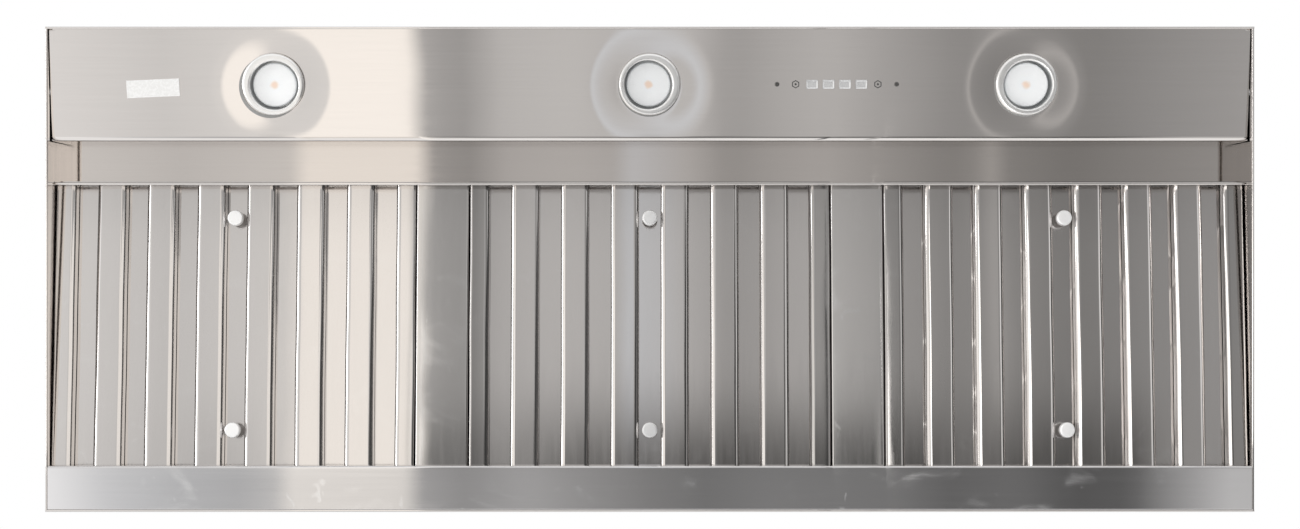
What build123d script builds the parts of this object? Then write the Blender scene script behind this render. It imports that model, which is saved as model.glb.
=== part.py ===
"""Range hood insert, built as separate folded-sheet, filter, lamp, blower and damper pieces.

Millimetres. The origin is the middle of the bottom rim, +Z is up, -Y is the front of the hood and
+X is to the right when the hood is looked at from below with its front at the top.
"""

import os
from math import atan, cos, degrees, radians, sin, tan

from build123d import *

# ---------------------------------------------------------------- driving dimensions, mm
# Housing
HOOD_WIDTH = 1482.0
HOOD_DEPTH = 595.0
BODY_HEIGHT = 305.0
SHEET = 1.2
BEND = 1.2  # inside radius of a fold
HEM = 3.0  # thickness of the folded bottom rim
HEM_HEIGHT = 10.0
CORNER_FLANGE = 12.0
TOP_FLANGE = 12.0
FIT = 0.3  # between pieces that only locate each other

# Light panel, compartment wall and recess
PANEL_LIFT = 4.0  # light panel's front edge above the rim
PANEL_DEPTH = 133.0
PANEL_RISE = 13.0
PANEL_FRONT_FLANGE = 14.0
PANEL_SIDE_GAP = 2.8
RECESS_CEILING = 85.0
RECESS_DEPTH = 54.0  # light panel's rear flange to the filter front bar
CEILING_REACH = 11.5  # how far the ceiling runs behind the bar's front face
WALL_LAP = 55.0  # how far the compartment wall hangs below the recess ceiling
PANEL_SCREW_DROP = 15.0  # screw heads below the recess ceiling
PANEL_SCREW_HEAD = (5.0, 2.5)  # radius, height
PANEL_SCREW_SHANK = (2.0, 8.0)  # radius, length
SCREW_CLEARANCE = 0.1
HEAD_ROUNDING = 0.45  # share of a screw head's height

# Filter front bar and grease trough
BAR_TOP = 45.0
BAR_HEIGHT = 22.0
BAR_HEM = 3.6
BAR_HEM_HEIGHT = 8.0
BAR_WIDTH = 8.2
TROUGH_WIDTH = 56.5
TROUGH_REAR = 20.0

# Baffle filters
FILTER_COUNT = 3
FILTER_GAP = 1.0
FILTER_THICKNESS = 22.0
FILTER_SHEET = 1.0
FILTER_BEND = 2.4
FILTER_SLOPE = 4.5  # degrees, down to the rear
FILTER_OVERLAP = 15.0  # rear end past the trough's lip
FILTER_SEAT_GAP = 0.3
FILTER_HOOK = 4.0  # front plate's lip, which hooks over the bar's front
FILTER_RAIL_FLANGE = 10.0
BAFFLE_COUNT = 6  # lower baffles of one filter
BAFFLE_WIDTH = 35.0
BAFFLE_FLANGE = 15.0
BAFFLE_SHOULDER = (5.0, 1.2)  # width and rise of the eased edges of a face that shows
UPPER_WIDTH = 40.0
UPPER_FLANGE = 15.0
SIDE_CHANNEL = 24.5  # visible width of a filter's side channel
SIDE_TOP_FLANGE = 6.0
KNOB_RADIUS = 9.5
KNOB_DROP = 7.0  # below the lower baffles
KNOB_HEAD = 12.0
KNOB_STEM = 4.0
KNOB_ROUND = 2.0
KNOB_FROM_FRONT = 45.5
KNOB_FROM_REAR = 57.5
DIVIDER_WIDTH = 64.8
DIVIDER_FLANGE = 20.0

# Lamps
LAMP_FROM_SIDE = 278.0  # outer lamps
LAMP_FROM_FRONT = 67.0
LAMP_BORE = 30.0
LAMP_TRIM = 38.0
LAMP_PROUD = 6.5
LAMP_CAN_WALL = 1.2
LAMP_CAN_DEPTH = 48.0
BULB_RADIUS = 27.0
BULB_RECESS = 5.0  # glass behind the light panel's face
BULB_RIM = 4.0
BULB_LENGTH = 45.0
BULB_BULGE = 2.0  # of the bowl outside the line from rim to neck
BULB_NECK = 9.0
HOLDER_RADIUS = 14.0
HOLDER_LENGTH = 18.0
HOLDER_SEAT = 2.0

# Controls
CONTROL_FROM_LAMP = 233.0  # middle of the buttons to the right lamp
BUTTON_COUNT = 4
BUTTON_PITCH = 20.2
BUTTON_SIZE = (14.0, 10.5)
BUTTON_PROUD = 1.2
BUTTON_FLANGE = 1.3
BUTTON_FLANGE_THICKNESS = 1.5
BUTTON_TRAVEL = 2.0
CONTROL_SCREW_SPAN = 147.0
CONTROL_SCREW_HEAD = (3.0, 2.0)
CONTROL_SCREW_SHANK = (1.5, 10.0)
MODULE_MARGIN = 10.0
MODULE_HEIGHT = 36.0
MODULE_DEPTH = 24.0

# Blower
WHEEL_RADIUS = 85.0
WHEEL_SIDE_GAP = 8.0  # wheel's ends to the scroll's side plates
WHEEL_BLADES = 36
BLADE_CHORD = 14.0
BLADE_SHEET = 0.8
BLADE_PITCH_ANGLE = 35.0
WHEEL_RING = 2.0
WHEEL_DISC = 1.5
HUB_RADIUS = 14.0
HUB_LENGTH = 30.0
SHAFT_RADIUS = 6.0
SHAFT_CLEARANCE = 0.05
SCROLL_SHEET = 1.0
SCROLL_WIDTH = 176.0  # inside
SCROLL_RADIUS = 120.0  # rear quarter of the volute
SCROLL_STEP = 12.0  # radius lost from the rear quarter to the bottom one
CUTOFF_STEP = 11.0  # radius lost from there to the front quarter
SCROLL_DROP = 188.0  # height of the rear quarter's centre
SCROLL_REAR = 180.0
CUTOFF_ANGLE = 115.0
INLET_RADIUS = 70.0
INLET_LIP = 8.0
INLET_FLANGE = 14.0
MOTOR_RADIUS = 50.0
MOTOR_LENGTH = 100.0
MOTOR_GAP = 11.0  # motor's face to the scroll's side
MOTOR_ROUND = 8.0
MOTOR_SHAFT_DEPTH = 45.0
BRACKET_BAND = (3.0, 20.0)  # thickness, width
BRACKET_REACH = 98.0
BRACKET_ARM = (16.0, 4.0)
BRACKET_ANGLES = (90.0, 225.0, 315.0)
CAPACITOR = (20.0, 64.0)  # radius, length
CAPACITOR_PLACE = (-250.0, 60.0)
CAPACITOR_STRAP = (1.5, 18.0)  # thickness, width
CAPACITOR_FOOT = (80.0, 3.0)  # length, thickness
CAPACITOR_ROUND = 1.5

# Wiring
BOX_SIZE = (120.0, 80.0, 45.0)
BOX_INSET = (411.0, 62.5)  # middle to the right side, and to the front
BOX_SHEET = 1.0
CABLE_HOLE = 16.0
KNOCKOUT_RADIUS = 11.1
KNOCKOUT_PLATE = 60.0
KNOCKOUT_SHEET = 1.5
KNOCKOUT_CORNER = 4.0
DRIVER_SIZE = (140.0, 35.0, 50.0)
DRIVER_PLACE = (-300.0, 200.0)
DRIVER_CORNER = 2.0
LOOM_RADIUS = 4.0
LOOM_BRANCH = 3.0
LOOM_HEIGHT = 110.0
LOOM_BEND = 20.0
LOOM_RISER = 80.0

# Duct collar and back-draught damper
DUCT_RADIUS = 126.5
DUCT_HEIGHT = 60.0
DUCT_FLANGE = 145.0
DAMPER_HEIGHT = 12.0  # rod above the top panel
ROD_RADIUS = 3.0
ROD_INSET = 0.2  # rod ends inside the collar's outer face
KNUCKLE_RADIUS = 4.5
KNUCKLE_LENGTH = 38.0
KNUCKLE_PLACES = (-70.0, 30.0)  # middles, from the duct's axis
FLAP_SHEET = 0.8
FLAP_CLEARANCE = 1.0
HINGE_CLEARANCE = 0.7
RUNNING = 0.05

# Hanging points
HANGER_INSET = (81.0, 57.5)  # hole to the side, and to the front or rear
HANGER_HOLE = 4.5
HANGER_SIZE = (50.0, 50.0, 3.0)

# ---------------------------------------------------------------- places worked out from them
half_width = HOOD_WIDTH / 2
half_depth = HOOD_DEPTH / 2
inner_x = half_width - SHEET
inner_y = half_depth - SHEET
under_top = BODY_HEIGHT - SHEET

panel_front_y = -half_depth + HEM
panel_rear_y = panel_front_y + PANEL_DEPTH
wall_y = panel_rear_y - SHEET  # rear face of the compartment wall
bar_y = panel_rear_y + RECESS_DEPTH
lip_y = half_depth - TROUGH_WIDTH

slope = radians(FILTER_SLOPE)
filter_y = bar_y - FIT - FILTER_SHEET
filter_z = BAR_TOP + FILTER_SEAT_GAP + tan(slope) * (bar_y + BAR_WIDTH - filter_y)
filter_plane = Plane((0, filter_y, filter_z), x_dir=(1, 0, 0), z_dir=(0, sin(slope), cos(slope)))
filter_length = (lip_y + FILTER_OVERLAP - filter_y) / cos(slope)
lip_z = filter_z - tan(slope) * (lip_y + SHEET - filter_y) - FILTER_SEAT_GAP
filter_pitch = (2 * inner_x + DIVIDER_WIDTH) / FILTER_COUNT
filter_width = filter_pitch - DIVIDER_WIDTH - 2 * FILTER_GAP
baffle_pitch = (filter_width + BAFFLE_WIDTH - 2 * SIDE_CHANNEL) / (BAFFLE_COUNT + 1)

lamp_spacing = half_width - LAMP_FROM_SIDE
control_x = lamp_spacing - CONTROL_FROM_LAMP
box_place = (half_width - BOX_INSET[0], -half_depth + BOX_INSET[1])

wheel_y = SCROLL_REAR - SCROLL_RADIUS - CUTOFF_STEP
wheel_z = SCROLL_DROP - SCROLL_STEP / 2
wheel_width = SCROLL_WIDTH - 2 * WHEEL_SIDE_GAP
cutoff_radius = SCROLL_RADIUS - SCROLL_STEP - CUTOFF_STEP
outlet_front = wheel_y + cutoff_radius * cos(radians(CUTOFF_ANGLE))
duct_y = (outlet_front + SCROLL_REAR) / 2
duct_inner = DUCT_RADIUS - SHEET
rod_z = BODY_HEIGHT + DAMPER_HEIGHT


# ---------------------------------------------------------------- helpers
def folded_section(points, thickness=SHEET, bend=BEND):
    """Section of a folded sheet. The points run along one face and the sheet lies on their left."""
    near = [Vector(u, v, 0) for u, v in points]
    runs = [(end - start).normalized() for start, end in zip(near, near[1:])]
    left = [Vector(-run.Y, run.X, 0) for run in runs]
    far = [near[0] + left[0] * thickness]
    near_radii, far_radii = [], []
    for i in range(1, len(near) - 1):
        miter = (left[i - 1] + left[i]) * (thickness / (1 + left[i - 1].dot(left[i])))
        far.append(near[i] + miter)
        turns_left = runs[i - 1].cross(runs[i]).Z > 0
        near_radii.append(bend + thickness if turns_left else bend)
        far_radii.append(bend if turns_left else bend + thickness)
    far.append(near[-1] + left[-1] * thickness)
    near_line = FilletPolyline(*near, radius=near_radii)
    far_line = FilletPolyline(*far, radius=far_radii)
    ends = [Line(near[0], far[0]), Line(near[-1], far[-1])]
    edges = list(near_line.edges()) + list(far_line.edges()) + [end.edge() for end in ends]
    return make_face(edges)


def sheet_along_x(points, half_length, thickness=SHEET, bend=BEND):
    """Folded sheet whose section is given as (y, z) points."""
    return extrude(Plane.YZ * folded_section(points, thickness, bend), half_length, both=True)


def sheet_along_y(points, start, end, thickness=SHEET, bend=BEND):
    """Folded sheet whose section is given as (x, z) points."""
    section = Plane((0, start, 0), x_dir=(1, 0, 0), z_dir=(0, -1, 0)) * folded_section(
        points, thickness, bend
    )
    return extrude(section, end - start, dir=(0, 1, 0))


def block(low, high):
    """Box between two corners."""
    size = [b - a for a, b in zip(low, high)]
    middle = [(a + b) / 2 for a, b in zip(low, high)]
    return Pos(*middle) * Box(*size)


def turned(points, rounds=()):
    """Solid turned about the Z axis from (radius, z) points; rounds gives (point, radius) pairs."""
    face = make_face(Polyline(*points, close=True).edges())
    for point, radius in rounds:
        corner = face.vertices().sort_by_distance((*point, 0))[0]
        face = fillet(corner, radius)
    return revolve(Plane.XZ * face, Axis.Z)


def rod(start, direction, radius, length):
    """Cylinder from a start point along a direction."""
    seat = Plane(start, z_dir=direction)
    return extrude(seat * Circle(radius), length)


def panel_plane(x, from_front):
    """Plane on the light panel's visible face, with its normal pointing out of the hood."""
    share = from_front / PANEL_DEPTH
    origin = (x, panel_front_y + from_front, PANEL_LIFT + share * PANEL_RISE)
    return Plane(origin, x_dir=(1, 0, 0), z_dir=(0, PANEL_RISE, -PANEL_DEPTH))


def pan_head_screw(head, shank, clearance=0.0):
    """Screw whose head sits on the XY plane, pointing up, with its shank below."""
    head_radius, head_height = head
    shank_radius, shank_length = shank
    rim = Cylinder(head_radius, head_height).edges().group_by(Axis.Z)[-1]
    dome = fillet(rim, head_height * HEAD_ROUNDING)
    return Pos(0, 0, head_height / 2) * dome + Pos(0, 0, -shank_length / 2) * Cylinder(
        shank_radius + clearance, shank_length
    )


# ---------------------------------------------------------------- housing
def hemmed_wall(length):
    """Upright panel along X with its outer face on Y = 0 and a folded rim at the bottom."""
    outline = [
        (0, 0),
        (HEM, 0),
        (HEM, HEM_HEIGHT),
        (SHEET, HEM_HEIGHT),
        (SHEET, BODY_HEIGHT),
        (0, BODY_HEIGHT),
    ]
    face = make_face(Polyline(*outline, close=True).edges())
    face = fillet(face.vertices().group_by(Axis.Y)[0], HEM / 3)
    return extrude(Plane.YZ * face, length / 2, both=True)


def end_wall():
    """Front or rear panel, with a flange at each end for the side panels."""
    wall = hemmed_wall(HOOD_WIDTH)
    for side in (-1, 1):
        x_near, x_far = sorted((side * (inner_x - SHEET), side * inner_x))
        flange_top = under_top - TOP_FLANGE
        wall += block((x_near, SHEET, HEM_HEIGHT + HEM), (x_far, SHEET + CORNER_FLANGE, flange_top))
    return wall


def housing():
    front = Pos(0, -half_depth, 0) * end_wall()
    rear = Pos(0, half_depth, 0) * Rot(0, 0, 180) * end_wall()
    left = Pos(-half_width, 0, 0) * Rot(0, 0, -90) * hemmed_wall(HOOD_DEPTH)
    right = Pos(half_width, 0, 0) * Rot(0, 0, 90) * hemmed_wall(HOOD_DEPTH)
    ends = [block((-half_width, -half_depth, 0), (half_width, -inner_y, BODY_HEIGHT))]
    ends.append(block((-half_width, inner_y, 0), (half_width, half_depth, BODY_HEIGHT)))
    for low_y, high_y in ((-half_depth, -half_depth + HEM), (half_depth - HEM, half_depth)):
        ends.append(block((-half_width, low_y, 0), (half_width, high_y, HEM_HEIGHT)))
    for end in ends:
        left -= end
        right -= end
    return {"front_panel": front, "rear_panel": rear, "left_side_panel": left, "right_side_panel": right}


def hanger_points():
    x, y = half_width - HANGER_INSET[0], half_depth - HANGER_INSET[1]
    return [(i * x, j * y) for i in (-1, 1) for j in (-1, 1)]


def top_panel():
    """Lid folded down at both sides, with the duct, cable and hanging holes."""
    points = [
        (inner_x, BODY_HEIGHT - TOP_FLANGE),
        (inner_x, BODY_HEIGHT),
        (-inner_x, BODY_HEIGHT),
        (-inner_x, BODY_HEIGHT - TOP_FLANGE),
    ]
    lid = sheet_along_y(points, -inner_y, inner_y)
    half_outlet = SCROLL_WIDTH / 2
    lid -= block((-half_outlet, outlet_front, 0), (half_outlet, SCROLL_REAR, 2 * BODY_HEIGHT))
    lid -= Pos(*box_place, BODY_HEIGHT) * Cylinder(CABLE_HOLE, 4 * SHEET)
    for x, y in hanger_points():
        lid -= Pos(x, y, BODY_HEIGHT) * Cylinder(HANGER_HOLE, 4 * SHEET)
    return lid


def hanger_plates():
    """Four stiffening plates welded under the top panel round the hanging holes."""
    plates = []
    for x, y in hanger_points():
        plate = Box(*HANGER_SIZE) - Cylinder(HANGER_HOLE, 2 * HANGER_SIZE[2])
        plates.append(Pos(x, y, under_top - HANGER_SIZE[2] / 2) * plate)
    return Compound(children=plates)


# ---------------------------------------------------------------- light panel and recess
def panel_screws(clearance=0.0):
    screws = []
    for x in lamp_places():
        seat = Plane(
            (x, panel_rear_y, RECESS_CEILING - PANEL_SCREW_DROP), x_dir=(1, 0, 0), z_dir=(0, 1, 0)
        )
        screws.append(seat * pan_head_screw(PANEL_SCREW_HEAD, PANEL_SCREW_SHANK, clearance))
    return screws


def lamp_places():
    return [-lamp_spacing, 0.0, lamp_spacing]


def control_screws(clearance=0.0):
    screws = []
    for side in (-1, 1):
        seat = panel_plane(control_x + side * CONTROL_SCREW_SPAN / 2, LAMP_FROM_FRONT)
        screws.append(seat * pan_head_screw(CONTROL_SCREW_HEAD, CONTROL_SCREW_SHANK, clearance))
    return screws


def button_places():
    first = control_x - BUTTON_PITCH * (BUTTON_COUNT - 1) / 2
    return [panel_plane(first + i * BUTTON_PITCH, LAMP_FROM_FRONT) for i in range(BUTTON_COUNT)]


def light_panel():
    points = [
        (panel_front_y, PANEL_LIFT + PANEL_FRONT_FLANGE),
        (panel_front_y, PANEL_LIFT),
        (panel_rear_y, PANEL_LIFT + PANEL_RISE),
        (panel_rear_y, RECESS_CEILING),
    ]
    panel = sheet_along_x(points, inner_x - PANEL_SIDE_GAP)
    for x in lamp_places():
        hole = Cylinder(LAMP_BORE + LAMP_CAN_WALL + FIT, 8 * SHEET)
        panel -= panel_plane(x, LAMP_FROM_FRONT) * hole
    for place in button_places():
        panel -= place * Box(BUTTON_SIZE[0] + 2 * FIT, BUTTON_SIZE[1] + 2 * FIT, 8 * SHEET)
    for screw in panel_screws(SCREW_CLEARANCE) + control_screws(SCREW_CLEARANCE):
        panel -= screw
    return panel


def compartment_wall():
    """Wall between the lamp compartment and the air plenum."""
    points = [
        (wall_y, RECESS_CEILING - WALL_LAP),
        (wall_y, under_top),
        (wall_y - TOP_FLANGE, under_top),
    ]
    wall = sheet_along_x(points, inner_x - SHEET - BEND - FIT)
    for screw in panel_screws(SCREW_CLEARANCE):
        wall -= screw
    return wall


def recess_ceiling():
    rear = bar_y + CEILING_REACH
    filter_top = filter_z - tan(slope) * (rear - filter_y) + FILTER_THICKNESS / cos(slope)
    points = [
        (wall_y, RECESS_CEILING + TOP_FLANGE),
        (wall_y, RECESS_CEILING),
        (rear, RECESS_CEILING),
        (rear, filter_top + FILTER_GAP),
    ]
    return sheet_along_x(points, inner_x)


def filter_front_bar():
    low = BAR_TOP - BAR_HEIGHT
    outline = [
        (0, low),
        (BAR_HEM, low),
        (BAR_HEM, low + BAR_HEM_HEIGHT),
        (SHEET, low + BAR_HEM_HEIGHT),
        (SHEET, BAR_TOP - SHEET),
        (BAR_WIDTH, BAR_TOP - SHEET),
        (BAR_WIDTH, BAR_TOP),
        (0, BAR_TOP),
    ]
    face = make_face(Polyline(*outline, close=True).edges())
    face = fillet(face.vertices().group_by(Axis.Y)[0], BAR_HEM / 3)
    return Pos(0, bar_y, 0) * extrude(Plane.YZ * face, inner_x, both=True)


def grease_trough():
    rear = half_depth - HEM
    points = [(lip_y, lip_z), (lip_y, 0), (rear, 0), (rear, TROUGH_REAR)]
    return sheet_along_x(points, half_width - HEM)


# ---------------------------------------------------------------- filters, made flat, then tilted
def filter_divider(x):
    half = DIVIDER_WIDTH / 2
    points = [(-half, DIVIDER_FLANGE), (-half, 0), (half, 0), (half, DIVIDER_FLANGE)]
    start = (bar_y + FIT - filter_y) / cos(slope)
    end = (lip_y + 2 * SHEET - filter_y) / cos(slope)
    return Pos(x, 0, 0) * filter_plane * sheet_along_y(points, start, end)


def filter_sheet(points, short=0.0):
    """Folded strip that runs from a filter's front plate to its rear plate, or ends short of them."""
    end = FILTER_SHEET + short
    return sheet_along_y(points, end, filter_length - end, FILTER_SHEET, FILTER_BEND)


def filter_frame():
    """Two side channels and two end plates. The front plate's lip hooks over the bar."""
    half = filter_width / 2
    shoulder, rise = BAFFLE_SHOULDER
    channel_top = FILTER_THICKNESS - FILTER_SHEET - FILTER_BEND
    left = filter_sheet(
        [
            (-half + SIDE_TOP_FLANGE, channel_top),
            (-half, channel_top),
            (-half, 0),
            (-half + SIDE_CHANNEL - shoulder, 0),
            (-half + SIDE_CHANNEL, rise),
            (-half + SIDE_CHANNEL, BAFFLE_FLANGE),
        ]
    )
    right = mirror(left, Plane.YZ)
    front = sheet_along_x(
        [(FILTER_RAIL_FLANGE, FILTER_THICKNESS), (0, FILTER_THICKNESS), (0, -FILTER_HOOK)],
        half,
        FILTER_SHEET,
        FILTER_BEND,
    )
    rear = sheet_along_x(
        [
            (filter_length, 0),
            (filter_length, FILTER_THICKNESS),
            (filter_length - FILTER_RAIL_FLANGE, FILTER_THICKNESS),
        ],
        half,
        FILTER_SHEET,
        FILTER_BEND,
    )
    return [left, right, front, rear]


def lower_baffles():
    half = BAFFLE_WIDTH / 2
    shoulder, rise = BAFFLE_SHOULDER
    left = [(-half, BAFFLE_FLANGE), (-half, rise), (-half + shoulder, 0)]
    baffle = filter_sheet(left + [(-x, z) for x, z in reversed(left)])
    first = -baffle_pitch * (BAFFLE_COUNT - 1) / 2
    return [Pos(first + i * baffle_pitch, 0, 0) * baffle for i in range(BAFFLE_COUNT)]


def upper_baffles():
    half = UPPER_WIDTH / 2
    top = FILTER_THICKNESS - FILTER_SHEET
    low = top - UPPER_FLANGE
    outline = [(half, low), (half, top), (-half, top), (-half, low)]
    baffle = filter_sheet(outline, FILTER_BEND)
    first = -baffle_pitch * BAFFLE_COUNT / 2
    return [Pos(first + i * baffle_pitch, 0, 0) * baffle for i in range(BAFFLE_COUNT + 1)]


def knobs():
    """Two round pulls under the middle upper baffle, each on its own stem."""
    stem_top = FILTER_THICKNESS - 2 * FILTER_SHEET
    head_top = KNOB_HEAD - KNOB_DROP
    outline = [
        (0, -KNOB_DROP),
        (KNOB_RADIUS, -KNOB_DROP),
        (KNOB_RADIUS, head_top),
        (KNOB_STEM, head_top),
        (KNOB_STEM, stem_top),
        (0, stem_top),
    ]
    knob = turned(outline, [((KNOB_RADIUS, -KNOB_DROP), KNOB_ROUND), ((KNOB_RADIUS, head_top), KNOB_ROUND)])
    return [Pos(0, y, 0) * knob for y in (KNOB_FROM_FRONT, filter_length - KNOB_FROM_REAR)]


def filters():
    groups = {
        "frame": filter_frame(),
        "lower_baffles": lower_baffles(),
        "upper_baffles": upper_baffles(),
        "knobs": knobs(),
    }
    nodes = {}
    for i in range(FILTER_COUNT):
        x = (i - (FILTER_COUNT - 1) / 2) * filter_pitch
        for group, solids in groups.items():
            placed = [Pos(x, 0, 0) * filter_plane * solid for solid in solids]
            nodes[f"filter_{i + 1}_{group}"] = Compound(children=placed)
    return nodes


# ---------------------------------------------------------------- lamps
def lamp_trim():
    """Trim ring and can in one turned piece; the can is open at the back for the bulb's neck."""
    outer = LAMP_BORE + LAMP_CAN_WALL
    back = -LAMP_CAN_DEPTH
    neck = BULB_NECK + FIT
    outline = [
        (LAMP_BORE, LAMP_PROUD),
        (LAMP_TRIM, LAMP_PROUD),
        (LAMP_TRIM, 0),
        (outer, 0),
        (outer, back),
        (neck, back),
        (neck, back + LAMP_CAN_WALL),
        (LAMP_BORE, back + LAMP_CAN_WALL),
    ]
    rounds = [((LAMP_TRIM, LAMP_PROUD), LAMP_PROUD / 2), ((LAMP_BORE, LAMP_PROUD), LAMP_PROUD / 4)]
    return turned(outline, rounds)


def lamp_bulb():
    """Reflector bulb: flat glass, a bowl behind it and a neck."""
    rim_back = -BULB_RECESS - BULB_RIM
    neck_top = -(LAMP_CAN_DEPTH - 2 * HOLDER_SEAT)
    base = -BULB_RECESS - BULB_LENGTH
    middle = ((BULB_RADIUS + BULB_NECK) / 2 + BULB_BULGE, (rim_back + neck_top) / 2 - BULB_BULGE)
    edges = Polyline((BULB_NECK, neck_top), (BULB_NECK, base), (0, base), (0, -BULB_RECESS)).edges()
    edges += Polyline((0, -BULB_RECESS), (BULB_RADIUS, -BULB_RECESS), (BULB_RADIUS, rim_back)).edges()
    edges += [ThreePointArc((BULB_RADIUS, rim_back), middle, (BULB_NECK, neck_top)).edge()]
    return revolve(Plane.XZ * make_face(edges), Axis.Z)


def lamp_holder():
    back = -LAMP_CAN_DEPTH
    seat = -BULB_RECESS - BULB_LENGTH
    outline = [
        (HOLDER_RADIUS, back),
        (HOLDER_RADIUS, back - HOLDER_LENGTH),
        (0, back - HOLDER_LENGTH),
        (0, seat),
        (BULB_NECK + FIT, seat),
        (BULB_NECK + FIT, back),
    ]
    return turned(outline)


def lamps():
    nodes = {}
    for name, x in zip(("left", "centre", "right"), lamp_places()):
        place = panel_plane(x, LAMP_FROM_FRONT)
        nodes[f"lamp_trim_{name}"] = place * lamp_trim()
        nodes[f"lamp_bulb_{name}"] = place * lamp_bulb()
        nodes[f"lamp_holder_{name}"] = place * lamp_holder()
    return nodes


# ---------------------------------------------------------------- controls
def button():
    """Cap that stands through the panel, with a flange behind it that stops it falling out."""
    flange_top = -SHEET - FIT
    flange_low = flange_top - BUTTON_FLANGE_THICKNESS
    width, height = BUTTON_SIZE
    cap = block((-width / 2, -height / 2, flange_low), (width / 2, height / 2, BUTTON_PROUD))
    cap = fillet(cap.edges().group_by(Axis.Z)[-1], BUTTON_PROUD / 4)
    half_flange = (width / 2 + BUTTON_FLANGE, height / 2 + BUTTON_FLANGE)
    return cap + block(
        (-half_flange[0], -half_flange[1], flange_low), (half_flange[0], half_flange[1], flange_top)
    )


def control_module():
    """Switch block on the panel's back, with a pocket for each button."""
    half_length = CONTROL_SCREW_SPAN / 2 + MODULE_MARGIN
    half_height = MODULE_HEIGHT / 2
    body = block(
        (-half_length, -half_height, -SHEET - MODULE_DEPTH), (half_length, half_height, -SHEET)
    )
    body = panel_plane(control_x, LAMP_FROM_FRONT) * body
    depth = FIT + BUTTON_FLANGE_THICKNESS + BUTTON_TRAVEL + FIT
    width = BUTTON_SIZE[0] + 2 * (BUTTON_FLANGE + FIT)
    height = BUTTON_SIZE[1] + 2 * (BUTTON_FLANGE + FIT)
    for place in button_places():
        body -= place * block((-width / 2, -height / 2, -SHEET - depth), (width / 2, height / 2, 0))
    for screw in control_screws(SCREW_CLEARANCE):
        body -= screw
    return body


# ---------------------------------------------------------------- blower
def scroll_line():
    """The volute's wrap, from the outlet's rear edge round to the cut-off and up to the outlet."""
    first = SCROLL_RADIUS
    second = first - SCROLL_STEP
    third = cutoff_radius
    c1 = Vector(SCROLL_REAR - first, SCROLL_DROP)
    c2 = Vector(c1.X, c1.Y - first + second)
    c3 = Vector(c2.X - second + third, c2.Y)
    arcs = [
        Line((SCROLL_REAR, under_top), (SCROLL_REAR, SCROLL_DROP)),
        CenterArc(c1, first, 0, -90),
        CenterArc(c2, second, 270, -90),
        CenterArc(c3, third, 180, CUTOFF_ANGLE - 180),
    ]
    cutoff = c3 + Vector(third * cos(radians(CUTOFF_ANGLE)), third * sin(radians(CUTOFF_ANGLE)))
    arcs.append(Line(cutoff, (cutoff.X, under_top)))
    return arcs


def blower_scroll():
    """Wrap sheet and two side plates with their inlet holes."""
    line = scroll_line()
    edges = [part.edge() for part in line]
    outside = make_face(edges + [Line(line[-1] @ 1, line[0] @ 0).edge()])
    half = SCROLL_WIDTH / 2
    full = extrude(Plane.YZ * outside, half, both=True)
    inside = offset(outside, -SCROLL_SHEET)
    hollow = extrude(Plane.YZ * inside, half, both=True)
    hollow += block((-half, outlet_front + SCROLL_SHEET, under_top - 4 * SCROLL_SHEET),
                    (half, SCROLL_REAR - SCROLL_SHEET, BODY_HEIGHT))
    wrap = full - hollow
    plates = []
    for side in (-1, 1):
        plate = Plane((side * half, 0, 0), x_dir=(0, 1, 0), z_dir=(1, 0, 0)) * outside
        plate = extrude(plate, side * SCROLL_SHEET)
        inlet = rod((side * half - INLET_LIP, wheel_y, wheel_z), (1, 0, 0), INLET_RADIUS, 2 * INLET_LIP)
        plates.append(plate - inlet)
    return wrap, Compound(children=plates)


def inlet_rings():
    """Rounded inlet lip on each side plate."""
    outline = [
        (INLET_RADIUS, 0),
        (INLET_RADIUS + INLET_FLANGE, 0),
        (INLET_RADIUS + INLET_FLANGE, SCROLL_SHEET),
        (INLET_RADIUS + INLET_LIP, INLET_LIP),
        (INLET_RADIUS, INLET_LIP),
    ]
    ring = turned(outline, [((INLET_RADIUS, INLET_LIP), INLET_LIP / 2)])
    rings = []
    for side in (-1, 1):
        x = side * (SCROLL_WIDTH / 2 + SCROLL_SHEET)
        rings.append(Plane((x, wheel_y, wheel_z), x_dir=(0, 1, 0), z_dir=(side, 0, 0)) * ring)
    return Compound(children=rings)


def blower_wheel():
    """Double-inlet wheel: hub, centre disc, two end rings and slanted blades, turned about X."""
    half = wheel_width / 2
    blade_centre = WHEEL_RADIUS - BLADE_CHORD / 2
    ring_inner = WHEEL_RADIUS - BLADE_CHORD
    wheel = Cylinder(WHEEL_RADIUS, WHEEL_DISC) + Cylinder(HUB_RADIUS, HUB_LENGTH)
    ring = Cylinder(WHEEL_RADIUS, WHEEL_RING) - Cylinder(ring_inner, WHEEL_RING)
    pieces = [Pos(0, 0, side * (half - WHEEL_RING / 2)) * ring for side in (-1, 1)]
    blade = Pos(blade_centre, 0, 0) * Rot(0, 0, BLADE_PITCH_ANGLE) * Box(
        BLADE_CHORD, BLADE_SHEET, wheel_width
    )
    pieces += [Rot(0, 0, i * 360 / WHEEL_BLADES) * blade for i in range(WHEEL_BLADES)]
    wheel = wheel + pieces
    wheel &= Cylinder(WHEEL_RADIUS, wheel_width)
    wheel -= Cylinder(SHAFT_RADIUS, 2 * HUB_LENGTH)
    return Plane((0, wheel_y, wheel_z), z_dir=(1, 0, 0)) * wheel


motor_face = -(SCROLL_WIDTH / 2 + SCROLL_SHEET + MOTOR_GAP)


def blower_shaft():
    end = HUB_LENGTH / 2 + SHAFT_RADIUS
    start = motor_face - MOTOR_SHAFT_DEPTH + FIT
    return rod((start, wheel_y, wheel_z), (1, 0, 0), SHAFT_RADIUS, end - start)


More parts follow.
